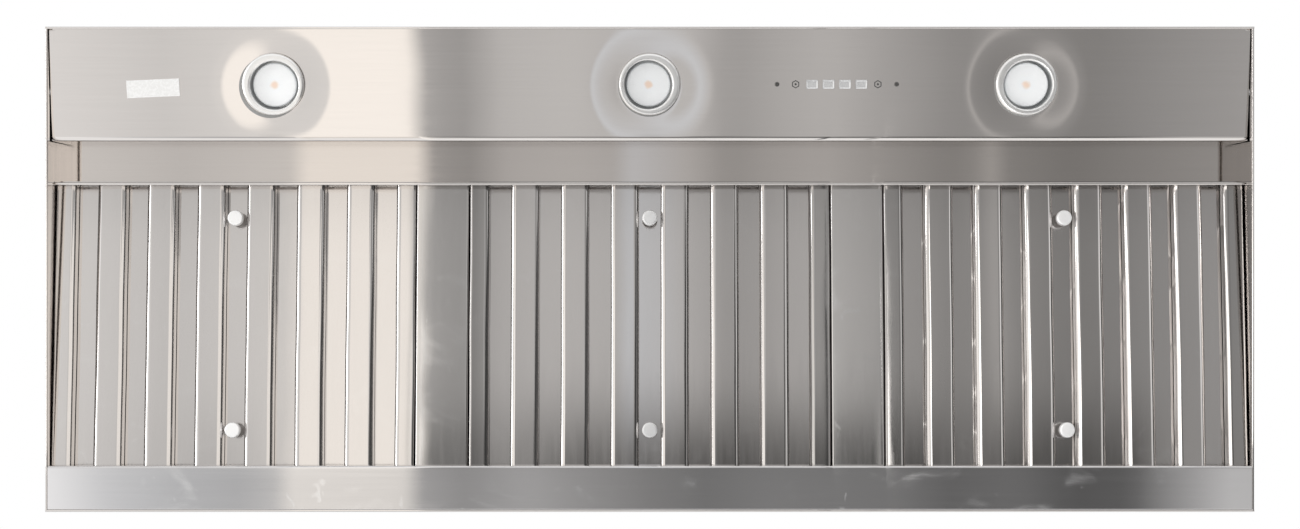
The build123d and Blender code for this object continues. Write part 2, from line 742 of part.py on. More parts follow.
def blower_motor():
    body = Cylinder(MOTOR_RADIUS, MOTOR_LENGTH)
    body = fillet(body.edges().filter_by(GeomType.CIRCLE), MOTOR_ROUND)
    body -= Pos(0, 0, (MOTOR_LENGTH - MOTOR_SHAFT_DEPTH) / 2) * Cylinder(
        SHAFT_RADIUS + SHAFT_CLEARANCE, MOTOR_SHAFT_DEPTH
    )
    middle = motor_face - MOTOR_LENGTH / 2
    return Plane((middle, wheel_y, wheel_z), z_dir=(1, 0, 0)) * body


def motor_bracket():
    """Band round the motor with three arms that reach to the scroll's side plate."""
    thickness, width = BRACKET_BAND
    arm_width, arm_thickness = BRACKET_ARM
    band_x = motor_face - MOTOR_LENGTH / 2
    plate_x = -(SCROLL_WIDTH / 2 + SCROLL_SHEET)
    bracket = Cylinder(MOTOR_RADIUS + thickness, width) - Cylinder(MOTOR_RADIUS, width)
    for angle in BRACKET_ANGLES:
        arm = block(
            (MOTOR_RADIUS + thickness / 2, -arm_width / 2, -arm_thickness / 2),
            (BRACKET_REACH, arm_width / 2, arm_thickness / 2),
        )
        leg = block(
            (BRACKET_REACH - arm_thickness, -arm_width / 2, -arm_thickness / 2),
            (BRACKET_REACH, arm_width / 2, plate_x - band_x),
        )
        bracket += Rot(0, 0, angle) * (arm + leg)
    return Plane((band_x, wheel_y, wheel_z), x_dir=(0, 1, 0), z_dir=(1, 0, 0)) * bracket


def run_capacitor():
    radius, length = CAPACITOR
    strap, strap_width = CAPACITOR_STRAP
    foot_length, foot_thickness = CAPACITOR_FOOT
    can = rod((-length / 2, 0, 0), (1, 0, 0), radius, length)
    can = fillet(can.edges().filter_by(GeomType.CIRCLE), CAPACITOR_ROUND)
    band = rod((-strap_width / 2, 0, 0), (1, 0, 0), radius + strap, strap_width)
    foot = block(
        (-strap_width / 2, -foot_length / 2, radius),
        (strap_width / 2, foot_length / 2, radius + foot_thickness),
    )
    return Pos(*CAPACITOR_PLACE, under_top - radius - foot_thickness) * (can + band + foot)


# ---------------------------------------------------------------- wiring
def junction_box():
    length, depth, height = BOX_SIZE
    box = Box(length, depth, height) - Pos(0, 0, -BOX_SHEET) * Box(
        length - 2 * BOX_SHEET, depth - 2 * BOX_SHEET, height
    )
    box -= Pos(0, 0, height / 2) * Cylinder(CABLE_HOLE, 4 * BOX_SHEET)
    return Pos(*box_place, under_top - height / 2) * box


def junction_box_cover():
    length, depth, height = BOX_SIZE
    cover = Box(length, depth, BOX_SHEET) - Cylinder(LOOM_BRANCH + FIT, 2 * BOX_SHEET)
    return Pos(*box_place, under_top - height - BOX_SHEET / 2) * cover


def knockout_plate():
    plate = Box(KNOCKOUT_PLATE, KNOCKOUT_PLATE, KNOCKOUT_SHEET)
    plate = fillet(plate.edges().filter_by(Axis.Z), KNOCKOUT_CORNER)
    plate -= Cylinder(KNOCKOUT_RADIUS, 2 * KNOCKOUT_SHEET)
    return Pos(*box_place, BODY_HEIGHT + KNOCKOUT_SHEET / 2) * plate


def lamp_driver():
    x, z = DRIVER_PLACE
    driver = fillet(Box(*DRIVER_SIZE).edges().filter_by(Axis.Z), DRIVER_CORNER)
    return Pos(x, wall_y - SHEET - DRIVER_SIZE[1] / 2, z) * driver


def wiring_loom():
    """Trunk along the compartment wall with a branch to each lamp, the switches and the box."""
    trunk_y = wall_y - SHEET - LOOM_RADIUS
    half = lamp_spacing + LOOM_RADIUS
    loom = rod((-half, trunk_y, LOOM_HEIGHT), (1, 0, 0), LOOM_RADIUS, 2 * half)

    def branch(*points):
        route = FilletPolyline(*points, radius=LOOM_BEND)
        return sweep(Plane(route @ 0, z_dir=route % 0) * Circle(LOOM_BRANCH), path=route)

    holder_back = LAMP_CAN_DEPTH + HOLDER_LENGTH
    ends = [panel_plane(x, LAMP_FROM_FRONT) * Pos(0, 0, -holder_back) for x in lamp_places()]
    ends.append(panel_plane(control_x, LAMP_FROM_FRONT) * Pos(0, 0, -SHEET - MODULE_DEPTH))
    for end in ends:
        x, y, z = end.position
        tilt_gap = FIT + LOOM_BRANCH * PANEL_RISE / PANEL_DEPTH
        start = (x, trunk_y, LOOM_HEIGHT)
        loom += branch(start, (x, y, LOOM_HEIGHT), (x, y, z + tilt_gap))
    box_x, box_y = box_place
    turn_z = LOOM_HEIGHT + LOOM_RISER
    box_floor = under_top - BOX_SIZE[2]
    points = [(box_x, trunk_y, LOOM_HEIGHT), (box_x, trunk_y, turn_z)]
    points += [(box_x, box_y, turn_z), (box_x, box_y, box_floor)]
    return loom + branch(*points)


# ---------------------------------------------------------------- duct collar and damper
def duct_collar():
    outline = [
        (duct_inner, 0),
        (DUCT_FLANGE, 0),
        (DUCT_FLANGE, SHEET),
        (DUCT_RADIUS, SHEET),
        (DUCT_RADIUS, DUCT_HEIGHT),
        (duct_inner, DUCT_HEIGHT),
    ]
    collar = Pos(0, duct_y, BODY_HEIGHT) * turned(outline)
    half = DUCT_FLANGE
    return collar - rod((-half, duct_y, rod_z), (1, 0, 0), ROD_RADIUS + RUNNING, 2 * half)


def damper_rod():
    half = DUCT_RADIUS - ROD_INSET
    return rod((-half, duct_y, rod_z), (1, 0, 0), ROD_RADIUS, 2 * half)


def damper_flap():
    """Half disc on the rear side of the rod, with two knuckles round it, about the origin."""
    radius = duct_inner - FLAP_CLEARANCE
    start = KNUCKLE_RADIUS + HINGE_CLEARANCE
    plate = Cylinder(radius, FLAP_SHEET)
    plate &= block((-radius, start, -FLAP_SHEET), (radius, radius, FLAP_SHEET))
    half = KNUCKLE_LENGTH / 2
    for x in KNUCKLE_PLACES:
        knuckle = rod((x - half, 0, 0), (1, 0, 0), KNUCKLE_RADIUS, 2 * half)
        web = block((x - half, 0, -FLAP_SHEET / 2), (x + half, start + FLAP_SHEET, FLAP_SHEET / 2))
        plate += knuckle + web
    return plate - rod((-radius, 0, 0), (1, 0, 0), ROD_RADIUS + RUNNING, 2 * radius)


# ---------------------------------------------------------------- every node
def build_nodes():
    nodes = housing()
    nodes["top_panel"] = top_panel()
    nodes["hanger_plates"] = hanger_plates()
    nodes["light_panel"] = light_panel()
    nodes["compartment_wall"] = compartment_wall()
    nodes["recess_ceiling"] = recess_ceiling()
    nodes["panel_screws"] = Compound(children=panel_screws())
    nodes["filter_front_bar"] = filter_front_bar()
    nodes["grease_trough"] = grease_trough()
    nodes["filter_divider_left"] = filter_divider(-filter_pitch / 2)
    nodes["filter_divider_right"] = filter_divider(filter_pitch / 2)
    nodes.update(filters())
    nodes.update(lamps())
    nodes["control_module"] = control_module()
    nodes["control_screws"] = Compound(children=control_screws())
    for i, place in enumerate(button_places()):
        nodes[f"button_{i + 1}"] = place * button()
    nodes["blower_scroll_wrap"], nodes["blower_side_plates"] = blower_scroll()
    nodes["blower_inlet_rings"] = inlet_rings()
    nodes["blower_wheel"] = blower_wheel()
    nodes["blower_shaft"] = blower_shaft()
    nodes["blower_motor"] = blower_motor()
    nodes["motor_bracket"] = motor_bracket()
    nodes["run_capacitor"] = run_capacitor()
    nodes["junction_box"] = junction_box()
    nodes["junction_box_cover"] = junction_box_cover()
    nodes["knockout_plate"] = knockout_plate()
    nodes["lamp_driver"] = lamp_driver()
    nodes["wiring_loom"] = wiring_loom()
    nodes["duct_collar"] = duct_collar()
    nodes["damper_rod"] = damper_rod()
    flap = damper_flap()
    nodes["damper_flap_rear"] = Pos(0, duct_y, rod_z) * flap
    nodes["damper_flap_front"] = Pos(0, duct_y, rod_z) * Rot(0, 0, 180) * flap
    return nodes


def main():
    os.makedirs("parts", exist_ok=True)
    for name, shape in build_nodes().items():
        export_step(shape, os.path.join("parts", f"{name}.step"))
    print("panel tilt, degrees", round(degrees(atan(PANEL_RISE / PANEL_DEPTH)), 3))
    print("filter axis", round(-cos(slope), 6), round(sin(slope), 6))
    print("duct centre y", round(duct_y, 3), "rod z", round(rod_z, 3))
    print("filter pitch", round(filter_pitch, 3), "length", round(filter_length, 3))
    print("lip", round(lip_z, 3), "filter front", round(filter_y, 3), round(filter_z, 3))


if __name__ == "__main__":
    main()
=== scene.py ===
"""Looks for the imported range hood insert: folded stainless sheet, baffle filters, lamps and push buttons.

The hood stands on its bottom rim and the camera looks straight up into it from below. The floor has an
opening the size of the hood, and its underside lets the camera through. Lengths are millimetres until a
piece is finished, and metres in Blender.
"""

from math import atan2, cos, pi, radians, sin, tan

import bmesh
import bpy
from mathutils import Matrix, Vector, noise

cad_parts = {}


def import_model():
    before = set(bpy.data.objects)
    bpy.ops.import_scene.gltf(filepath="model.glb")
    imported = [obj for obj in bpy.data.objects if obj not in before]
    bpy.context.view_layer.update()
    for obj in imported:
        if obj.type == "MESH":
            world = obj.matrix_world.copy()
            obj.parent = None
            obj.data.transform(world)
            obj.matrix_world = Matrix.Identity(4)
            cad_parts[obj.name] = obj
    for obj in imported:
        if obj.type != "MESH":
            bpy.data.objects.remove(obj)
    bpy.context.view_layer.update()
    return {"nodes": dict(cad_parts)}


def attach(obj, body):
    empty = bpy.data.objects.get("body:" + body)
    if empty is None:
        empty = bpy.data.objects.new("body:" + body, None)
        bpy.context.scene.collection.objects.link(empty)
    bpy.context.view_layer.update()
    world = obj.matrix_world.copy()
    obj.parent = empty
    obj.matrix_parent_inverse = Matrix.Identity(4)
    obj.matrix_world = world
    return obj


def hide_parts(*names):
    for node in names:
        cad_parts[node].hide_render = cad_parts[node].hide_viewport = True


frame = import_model()
noise.seed_set(1)  # noise_vector's offsets would otherwise come from the clock

# ---------------------------------------------------------------- sizes that the looks share, mm
MM = 0.001
HALF_WIDTH = 741.0
HALF_DEPTH = 297.5
HEIGHT = 305.0
SHEET = 1.2
HEM = 3.0
HEM_HEIGHT = 10.0

PANEL_FRONT = (-294.5, 4.0)  # y, z of the light panel's front fold
PANEL_REAR = (-161.5, 17.0)
PANEL_HALF = 737.0
PANEL_TILT = atan2(13.0, 133.0)
CURL_SETBACK = 1.9  # the rounded rear edge of the light panel starts this far ahead of PANEL_REAR
CURL_RADIUS = 9.6
CURL_TURN = (12, 46)  # degrees from level, where it starts and ends
RECESS_CEILING = 85.0
BAR = (-107.5, 45.0, 23.0)  # front face's y, top, bottom
TROUGH_LIP = (241.0, 18.123)

FILTER_ORIGIN = (-108.8, 46.048)
FILTER_TILT = radians(4.5)
FILTER_LENGTH = 365.928
FILTER_PITCH = 514.8
FILTER_HALF = 224.0
FILTER_DEPTH = 22.0
FILTER_SHEET = 1.0
DIVIDER_HALF = 32.4
BAFFLE_BEND = 3.4  # outside radius of a fold
BAFFLE_PITCH = 62.0
SIDE_CHANNEL = 24.5

LAMP_PLACES = {"left": -463.0, "centre": 0.0, "right": 463.0}
LAMP_Y = -227.5
LAMP_HOLE = 31.5
TRIM_RADIUS = 38.0
BULB_RADIUS = 27.0
CONTROL_X = 230.0
BUTTONS = [CONTROL_X + (i - 1.5) * 20.2 for i in range(4)]
BUTTON_HOLE = (7.3, 5.55)  # half its width, half its depth
SCREW_FROM_MIDDLE = 73.5
MARK_FROM_MIDDLE = 50.6
DUCT_Y = 94.003
DUCT_RADIUS = 126.5
DUCT_FLANGE = 145.0
CAMERA_DROP = 2.8  # metres below the rim


# ---------------------------------------------------------------- mesh helpers
def finished(name, shape, material, body, nodes=(), smooth=35.0):
    """Scales a finished shape to metres, and makes it a piece of the hood that rides on a body."""
    bmesh.ops.scale(shape, vec=(MM, MM, MM), verts=shape.verts)
    mesh = bpy.data.meshes.new(name)
    shape.to_mesh(mesh)
    shape.free()
    mesh.shade_smooth()
    mesh.set_sharp_from_angle(angle=radians(smooth))
    piece = bpy.data.objects.new(name, mesh)
    bpy.context.scene.collection.objects.link(piece)
    mesh.materials.append(material)
    level = piece.modifiers.new("flat_faces", "WEIGHTED_NORMAL")  # keeps flats flat beside their rounded folds
    level.keep_sharp = True
    level.weight = 100
    if nodes:
        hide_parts(*nodes)
    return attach(piece, body)


def grid(half, columns=1, rows=1):
    """Flat square on the ground, from its middle to its edge, cut into columns and rows."""
    shape = bmesh.new()
    bmesh.ops.create_grid(shape, x_segments=columns, y_segments=rows, size=half)
    return shape


def block(size, z):
    """Box whose middle is at a height."""
    shape = bmesh.new()
    bmesh.ops.create_cube(shape, size=1.0)
    bmesh.ops.scale(shape, vec=size, verts=shape.verts)
    bmesh.ops.translate(shape, vec=(0, 0, z), verts=shape.verts)
    return shape


def joined(parts):
    """One bmesh from several, which are used up."""
    whole = bmesh.new()
    for part in parts:
        mesh = bpy.data.meshes.new("part")
        part.to_mesh(mesh)
        part.free()
        whole.from_mesh(mesh)
        bpy.data.meshes.remove(mesh)
    return whole


def moved(shape, matrix):
    """Moves a shape, and gives it back."""
    bmesh.ops.transform(shape, matrix=matrix, verts=shape.verts)
    return shape


def folded(points, axis, start, end, thickness=SHEET, bend=2.4, cuts=0):
    """Folded sheet. The points are its section on the side that shows, and the sheet lies on their left.

    Along X the points are (y, z), and along Y they are (x, z).
    """
    shape = bmesh.new()
    if axis == "X":
        corners = [shape.verts.new((end, a, b)) for a, b in points]
        run = Vector((start - end, 0, 0))
    else:
        corners = [shape.verts.new((a, start, b)) for a, b in points]
        run = Vector((0, end - start, 0))
    edges = [shape.edges.new(pair) for pair in zip(corners, corners[1:])]
    grown = bmesh.ops.extrude_edge_only(shape, edges=edges)["geom"]
    bmesh.ops.translate(shape, vec=run, verts=[g for g in grown if isinstance(g, bmesh.types.BMVert)])
    folds = [e for e in shape.edges if len(e.link_faces) == 2]
    if folds and bend:
        bmesh.ops.bevel(
            shape, geom=folds, offset=bend, offset_type="OFFSET", segments=5, profile=0.5,
            affect="EDGES", clamp_overlap=True, material=-1,
        )
    if cuts:
        way = run.normalized()
        along = [e for e in shape.edges if abs((e.verts[1].co - e.verts[0].co).normalized().dot(way)) > 0.99]
        bmesh.ops.subdivide_edges(shape, edges=along, cuts=cuts, use_grid_fill=True)
    shape.normal_update()
    bmesh.ops.solidify(shape, geom=list(shape.faces), thickness=thickness)
    return shape


def spun(outline, steps=64, turn=None):
    """Solid turned about Z from (radius, z) points that run from the bottom of the axis round to its top."""
    shape = bmesh.new()
    corners = [shape.verts.new((r, 0, z)) for r, z in outline]
    edges = [shape.edges.new(pair) for pair in zip(corners, corners[1:])]
    if turn:
        edges.append(shape.edges.new((corners[-1], corners[0])))
    bmesh.ops.spin(
        shape, geom=corners + edges, axis=(0, 0, 1), cent=(0, 0, 0), angle=2 * pi, steps=steps, use_merge=True
    )
    bmesh.ops.remove_doubles(shape, verts=shape.verts, dist=0.001)
    bmesh.ops.recalc_face_normals(shape, faces=shape.faces)
    return shape


def arc(centre, radius, start, end, steps=6):
    """Points of a rounded corner in a section, angles in degrees."""
    turns = [radians(start + (end - start) * i / steps) for i in range(steps + 1)]
    return [(centre[0] + radius * cos(a), centre[1] + radius * sin(a)) for a in turns]


def wavy(shape, amount, length, seed, still=()):
    """Moves a sheet's points by a smooth wander, as thin sheet never lies quite flat."""
    for v in shape.verts:
        place = v.co / length + Vector((seed, seed, seed))
        push = noise.noise_vector(place) * amount
        for axis in still:
            push[axis] = 0
        v.co += push
    return shape


def panel_seat(x, from_lamp=0.0):
    """Matrix of a plane on the light panel's face: X right, Y to the front, Z out of the hood."""
    s, c = sin(PANEL_TILT), cos(PANEL_TILT)
    z = PANEL_FRONT[1] + (LAMP_Y - PANEL_FRONT[0]) * tan(PANEL_TILT)
    return Matrix(((1, 0, 0, x), (0, -c, s, LAMP_Y - c * from_lamp), (0, -s, -c, z - s * from_lamp), (0, 0, 0, 1)))


def filter_seat(i):
    """Matrix of filter i's own plane: Y runs to the rear, and its parts lie above Z = 0. Dividers are at 1.5, 2.5."""
    x = (i - 2) * FILTER_PITCH
    return Matrix.Translation((x, *FILTER_ORIGIN)) @ Matrix.Rotation(-FILTER_TILT, 4, "X")


# ---------------------------------------------------------------- material helpers
BARE_STEEL = (0.729, 0.697, 0.676)


class Nodes:
    """Adds nodes to a material or the world, and joins them up."""

    def __init__(self, owner):
        owner.use_nodes = True
        self.tree = owner.node_tree

    def add(self, kind, settings=None, **inputs):
        node = self.tree.nodes.new(kind)
        for key, value in (settings or {}).items():
            setattr(node, key, value)
        for key, value in inputs.items():
            self.put(node, key.replace("_", " "), value)
        return node

    def put(self, node, socket, value):
        if isinstance(value, bpy.types.NodeSocket):
            self.tree.links.new(value, node.inputs[socket])
        else:
            node.inputs[socket].default_value = value

    def surface(self, shader):
        self.put(self.tree.nodes["Material Output"], "Surface", shader)

    def span(self, value, low, high, to_low=0.0, to_high=1.0):
        """Maps low..high to to_low..to_high, and holds the ends."""
        node = self.add("ShaderNodeMapRange", {"interpolation_type": "SMOOTHSTEP"}, Value=value)
        for key, number in (("From Min", low), ("From Max", high), ("To Min", to_low), ("To Max", to_high)):
            node.inputs[key].default_value = number
        return node.outputs[0]

    def math(self, operation, a, b=0.0):
        node = self.add("ShaderNodeMath", {"operation": operation})
        self.put(node, 0, a)
        self.put(node, 1, b)
        return node.outputs[0]

    def tint(self, share, first, second):
        node = self.add("ShaderNodeMix", {"data_type": "RGBA"})
        self.put(node, 0, share)
        for socket, color in ((6, first), (7, second)):
            self.put(node, socket, color if isinstance(color, bpy.types.NodeSocket) else (*color, 1))
        return node.outputs[2]

    def axes(self, place):
        """X, Y and Z of a place."""
        return self.add("ShaderNodeSeparateXYZ", Vector=place).outputs

    def watched(self):
        """1 for the camera's own rays, and 1 for those and the ones that it sees mirrored or through glass."""
        path = self.add("ShaderNodeLightPath").outputs
        mirrored_too = self.math("MAXIMUM", path["Is Camera Ray"], path["Is Glossy Ray"])
        return path["Is Camera Ray"], self.math("MAXIMUM", mirrored_too, path["Is Transmission Ray"])


class Finish(Nodes):
    """A piece's material in the making: its shader and the place on the object that its nodes read."""

    def __init__(self, name, color, metallic, roughness):
        self.material = bpy.data.materials.new(name)
        super().__init__(self.material)
        self.shader = self.tree.nodes["Principled BSDF"]
        self.place = self.add("ShaderNodeTexCoord").outputs["Object"]
        self.shader.inputs["Base Color"].default_value = (*color, 1)
        self.shader.inputs["Metallic"].default_value = metallic
        self.shader.inputs["Roughness"].default_value = roughness

    def grain(self, scale, detail=2.0, rough=0.5, distortion=0.0):
        """Noise stretched by a scale for each axis."""
        place = self.add("ShaderNodeMapping", Vector=self.place, Scale=scale).outputs[0]
        return self.add(
            "ShaderNodeTexNoise", Vector=place, Scale=1.0, Detail=detail, Roughness=rough, Distortion=distortion
        ).outputs[0]

    def bump(self, height, distance, strength=1.0, below=None):
        node = self.add("ShaderNodeBump", Height=height, Distance=distance, Strength=strength)
        if below is not None:
            self.put(node, "Normal", below)
        return node.outputs[0]

    def set(self, **inputs):
        for key, value in inputs.items():
            self.put(self.shader, key.replace("_", " "), value)
        return self.material


def weld_spots(steel, along):
    """Small round marks where the lid's flange, and on the end walls the corner flanges, are spot welded."""
    place = steel.axes(steel.place)
    run, height = place["XYZ".index(along)], place[2]

    def row(across, down, pitch):
        step = steel.math("SUBTRACT", steel.math("PINGPONG", down, pitch / 2), pitch / 4)
        squares = [steel.math("MULTIPLY", gap, gap) for gap in (across, step)]
        return steel.span(steel.math("SQRT", steel.math("ADD", *squares)), 0.0020, 0.0032, 1.0, 0.0)

    spots = row(steel.math("SUBTRACT", height, 0.2985), run, 0.184)
    if along == "Y":
        corner = steel.math("SUBTRACT", steel.math("ABSOLUTE", run), 0.2900)
        spots = steel.math("MAXIMUM", spots, row(corner, height, 0.092))
    return spots


def outer_faces(steel, along):
    """1 on the outer faces of the lid and the walls that run along an axis, 0 on their rims and inner faces."""
    place = steel.axes(steel.place)
    across, half = (place[1], HALF_DEPTH * MM) if along == "X" else (place[0], HALF_WIDTH * MM)
    wall = steel.span(steel.math("ABSOLUTE", across), half - 0.0006, half - 0.0003)
    return steel.math("MAXIMUM", wall, steel.span(place[2], HEIGHT * MM - 0.0006, HEIGHT * MM - 0.0003))


def brushed_steel(
    name, along, color=BARE_STEEL, roughness=0.085, smudges=0.0, waves=0.00007, streaks=0.015, lengthways="X",
    flank=None, welds=None,
):
    """Stainless sheet with its grain along one axis, soft waves, and hand marks where it is handled.

    lengthways is the axis that its reflections stay sharp along. flank is the roughness of the steep left sides
    of its folds, which the press leaves matt. welds is the axis of an outer wall's rows of spot welds: such a
    wall has this finish on its outer face only, and the bare sheet's on its rim and inner face.
    """
    steel = Finish(name, color, 1.0, roughness)
    short, long = 10.0, 1300.0
    fine = steel.grain([short if axis == along else long for axis in "XYZ"], detail=2.0)
    broad = steel.grain([3.0 if axis == along else 130.0 for axis in "XYZ"], detail=3.0, rough=0.6)
    both = steel.math("ADD", steel.math("MULTIPLY", fine, 0.5), steel.math("MULTIPLY", broad, 0.5))
    dark = [c * (1 - streaks) for c in color]
    pale = [min(1.0, c * (1 + streaks)) for c in color]
    tone = steel.tint(steel.span(both, 0.3, 0.7), dark, pale)
    rough = steel.span(broad, 0.3, 0.7, roughness - 0.02, roughness + 0.02)
    slow = steel.grain((7.0, 7.0, 7.0), detail=1.0)
    bumps = steel.bump(slow, waves)
    if welds:
        cloud = steel.grain([1.2 if axis == along else 9.0 for axis in "XYZ"], detail=4.0, rough=0.6)
        tone = steel.tint(steel.span(cloud, 0.35, 0.65), [c * 0.93 for c in color], tone)
        spot = weld_spots(steel, welds)
        tone = steel.tint(steel.math("MULTIPLY", spot, 0.45), tone, [c * 0.55 for c in color])
        bumps = steel.bump(spot, -0.0004, below=bumps)
        outside = outer_faces(steel, welds)
        tone = steel.tint(outside, BARE_STEEL, tone)
        rough = steel.math("ADD", rough, steel.span(outside, 0.0, 1.0, 0.09 - roughness, 0.0))
    bumps = steel.bump(fine, 0.000012 if along == lengthways else 0.0000012, below=bumps)
    if smudges:
        marks = steel.grain((15.0, 22.0, 22.0), detail=3.0, rough=0.5, distortion=0.8)
        specks = steel.grain((48.0, 36.0, 36.0), detail=1.0, rough=0.5, distortion=1.2)
        mark = steel.math("MULTIPLY", steel.span(marks, 0.56, 0.78), smudges)
        speck = steel.math("MULTIPLY", steel.span(specks, 0.70, 0.80), smudges)
        mark = steel.math("MAXIMUM", mark, speck)
        rough = steel.math("ADD", rough, steel.math("MULTIPLY", mark, 0.16))
        tone = steel.tint(steel.math("MULTIPLY", mark, 0.35), tone, (0.86, 0.86, 0.86))
    direction = [1.0 if axis == lengthways else 0.0 for axis in "XYZ"]
    facing = steel.add("ShaderNodeNewGeometry").outputs["Normal"]
    if flank:
        rough = steel.math("MAXIMUM", rough, steel.span(steel.axes(facing)[0], -0.97, -0.75, flank, 0.0))
    across = steel.add("ShaderNodeVectorMath", {"operation": "CROSS_PRODUCT"})
    steel.put(across, 0, facing)
    steel.put(across, 1, direction)
    steel.shader.inputs["Anisotropic"].default_value = 0.93
    return steel.set(Base_Color=tone, Roughness=rough, Normal=bumps, Tangent=across.outputs[0])


def polished(name, color, roughness, scratches=0.03, metallic=1.0):
    """Polished or satin metal with fine scratches."""
    metal = Finish(name, color, metallic, roughness)
    lines = metal.grain((900.0, 900.0, 300.0), detail=3.0, rough=0.7)
    haze = metal.grain((60.0, 60.0, 60.0), detail=3.0)
    rough = metal.span(haze, 0.3, 0.7, roughness - scratches, roughness + scratches)
    tone = metal.tint(metal.span(lines, 0.35, 0.65), [c * 0.95 for c in color], color)
    return metal.set(Base_Color=tone, Roughness=rough, Normal=metal.bump(lines, 0.000004))


def galvanised_sheet():
    """Zinc spangle: flat crystals of slightly different greys."""
    zinc = Finish("galvanised", (0.56, 0.58, 0.59), 1.0, 0.38)
    cells = zinc.add("ShaderNodeTexVoronoi", Vector=zinc.place, Scale=140.0, Randomness=1.0).outputs["Color"]
    shade = zinc.add("ShaderNodeSeparateColor", Color=cells).outputs[0]
    tone = zinc.tint(shade, (0.50, 0.52, 0.53), (0.66, 0.68, 0.69))
    rough = zinc.span(shade, 0, 1, 0.30, 0.48)
    frost = zinc.grain((90.0, 90.0, 90.0), detail=3.0)
    return zinc.set(Base_Color=tone, Roughness=rough, Normal=zinc.bump(frost, 0.00002))


def moulded(name, color, roughness, size=700.0, depth=0.00002, metallic=0.0):
    """Moulded plastic, paint or ceramic with a fine texture and slight tone changes."""
    part = Finish(name, color, metallic, roughness)
    pebble = part.grain((size, size, size), detail=2.0)
    cloud = part.grain((25.0, 25.0, 25.0), detail=3.0)
    tone = part.tint(part.span(cloud, 0.35, 0.65), [c * 0.88 for c in color], color)
    return part.set(
        Base_Color=tone, Roughness=part.span(cloud, 0.3, 0.7, roughness - 0.04, roughness + 0.05),
        Normal=part.bump(pebble, depth),
    )


def frosted_lens():
    """Pale lens over a small warm capsule, with faint moulded rays. The whole lens glows faintly in its own tone, which
    is painted light, and its outer edge is painted grey, a painted shade for the gap round it. It reads each lens's own
    polar lines.
    """
    lens = Finish("bulb_glass", (0.93, 0.93, 0.93), 0.0, 0.22)
    radius = lens.add("ShaderNodeAttribute", {"attribute_name": "from_axis"}).outputs["Fac"]
    angle = lens.add("ShaderNodeAttribute", {"attribute_name": "round_axis"}).outputs["Fac"]
    rays = lens.math("SINE", lens.math("MULTIPLY", angle, 24.0))
    cloud = lens.grain((120.0, 120.0, 120.0), detail=2.0)
    near = lens.math("ADD", radius, lens.math("MULTIPLY", lens.math("SUBTRACT", cloud, 0.5), 0.004))
    tone = lens.tint(lens.span(near, 0.0022, 0.0068, 1, 0), (0.915, 0.93, 0.94), (0.88, 0.67, 0.53))
    # Painted shade: the lens's outer edge is painted grey, for the shaded gap between the lens and the trim.
    tone = lens.tint(lens.span(radius, 0.0246, 0.0272), tone, (0.62, 0.65, 0.67))
    shade = lens.math("MULTIPLY", lens.span(rays, -1, 1), lens.span(radius, 0.004, 0.016, 0.25, 0.0))
    tone = lens.tint(shade, tone, (0.74, 0.76, 0.78))
    lens.shader.inputs["Coat Weight"].default_value = 0.4
    lens.shader.inputs["Coat Roughness"].default_value = 0.08
    # Painted light: the whole lens glows faintly in its own tone, which makes it brighter than its lighting alone
    # would.
    lens.shader.inputs["Emission Strength"].default_value = 0.14
    return lens.set(Base_Color=tone, Emission_Color=tone, Normal=lens.bump(rays, 0.00002))


def blank_label():
    """Bare paper label with slightly lifted, greyer edges."""
    paper = Finish("label_paper", (0.92, 0.92, 0.91), 0.0, 0.55)
    fibre = paper.grain((400.0, 400.0, 400.0), detail=4.0)
    tone = paper.tint(paper.span(fibre, 0.4, 0.65), (0.86, 0.86, 0.85), (0.94, 0.94, 0.935))
    return paper.set(Base_Color=tone, Normal=paper.bump(fibre, 0.00003))


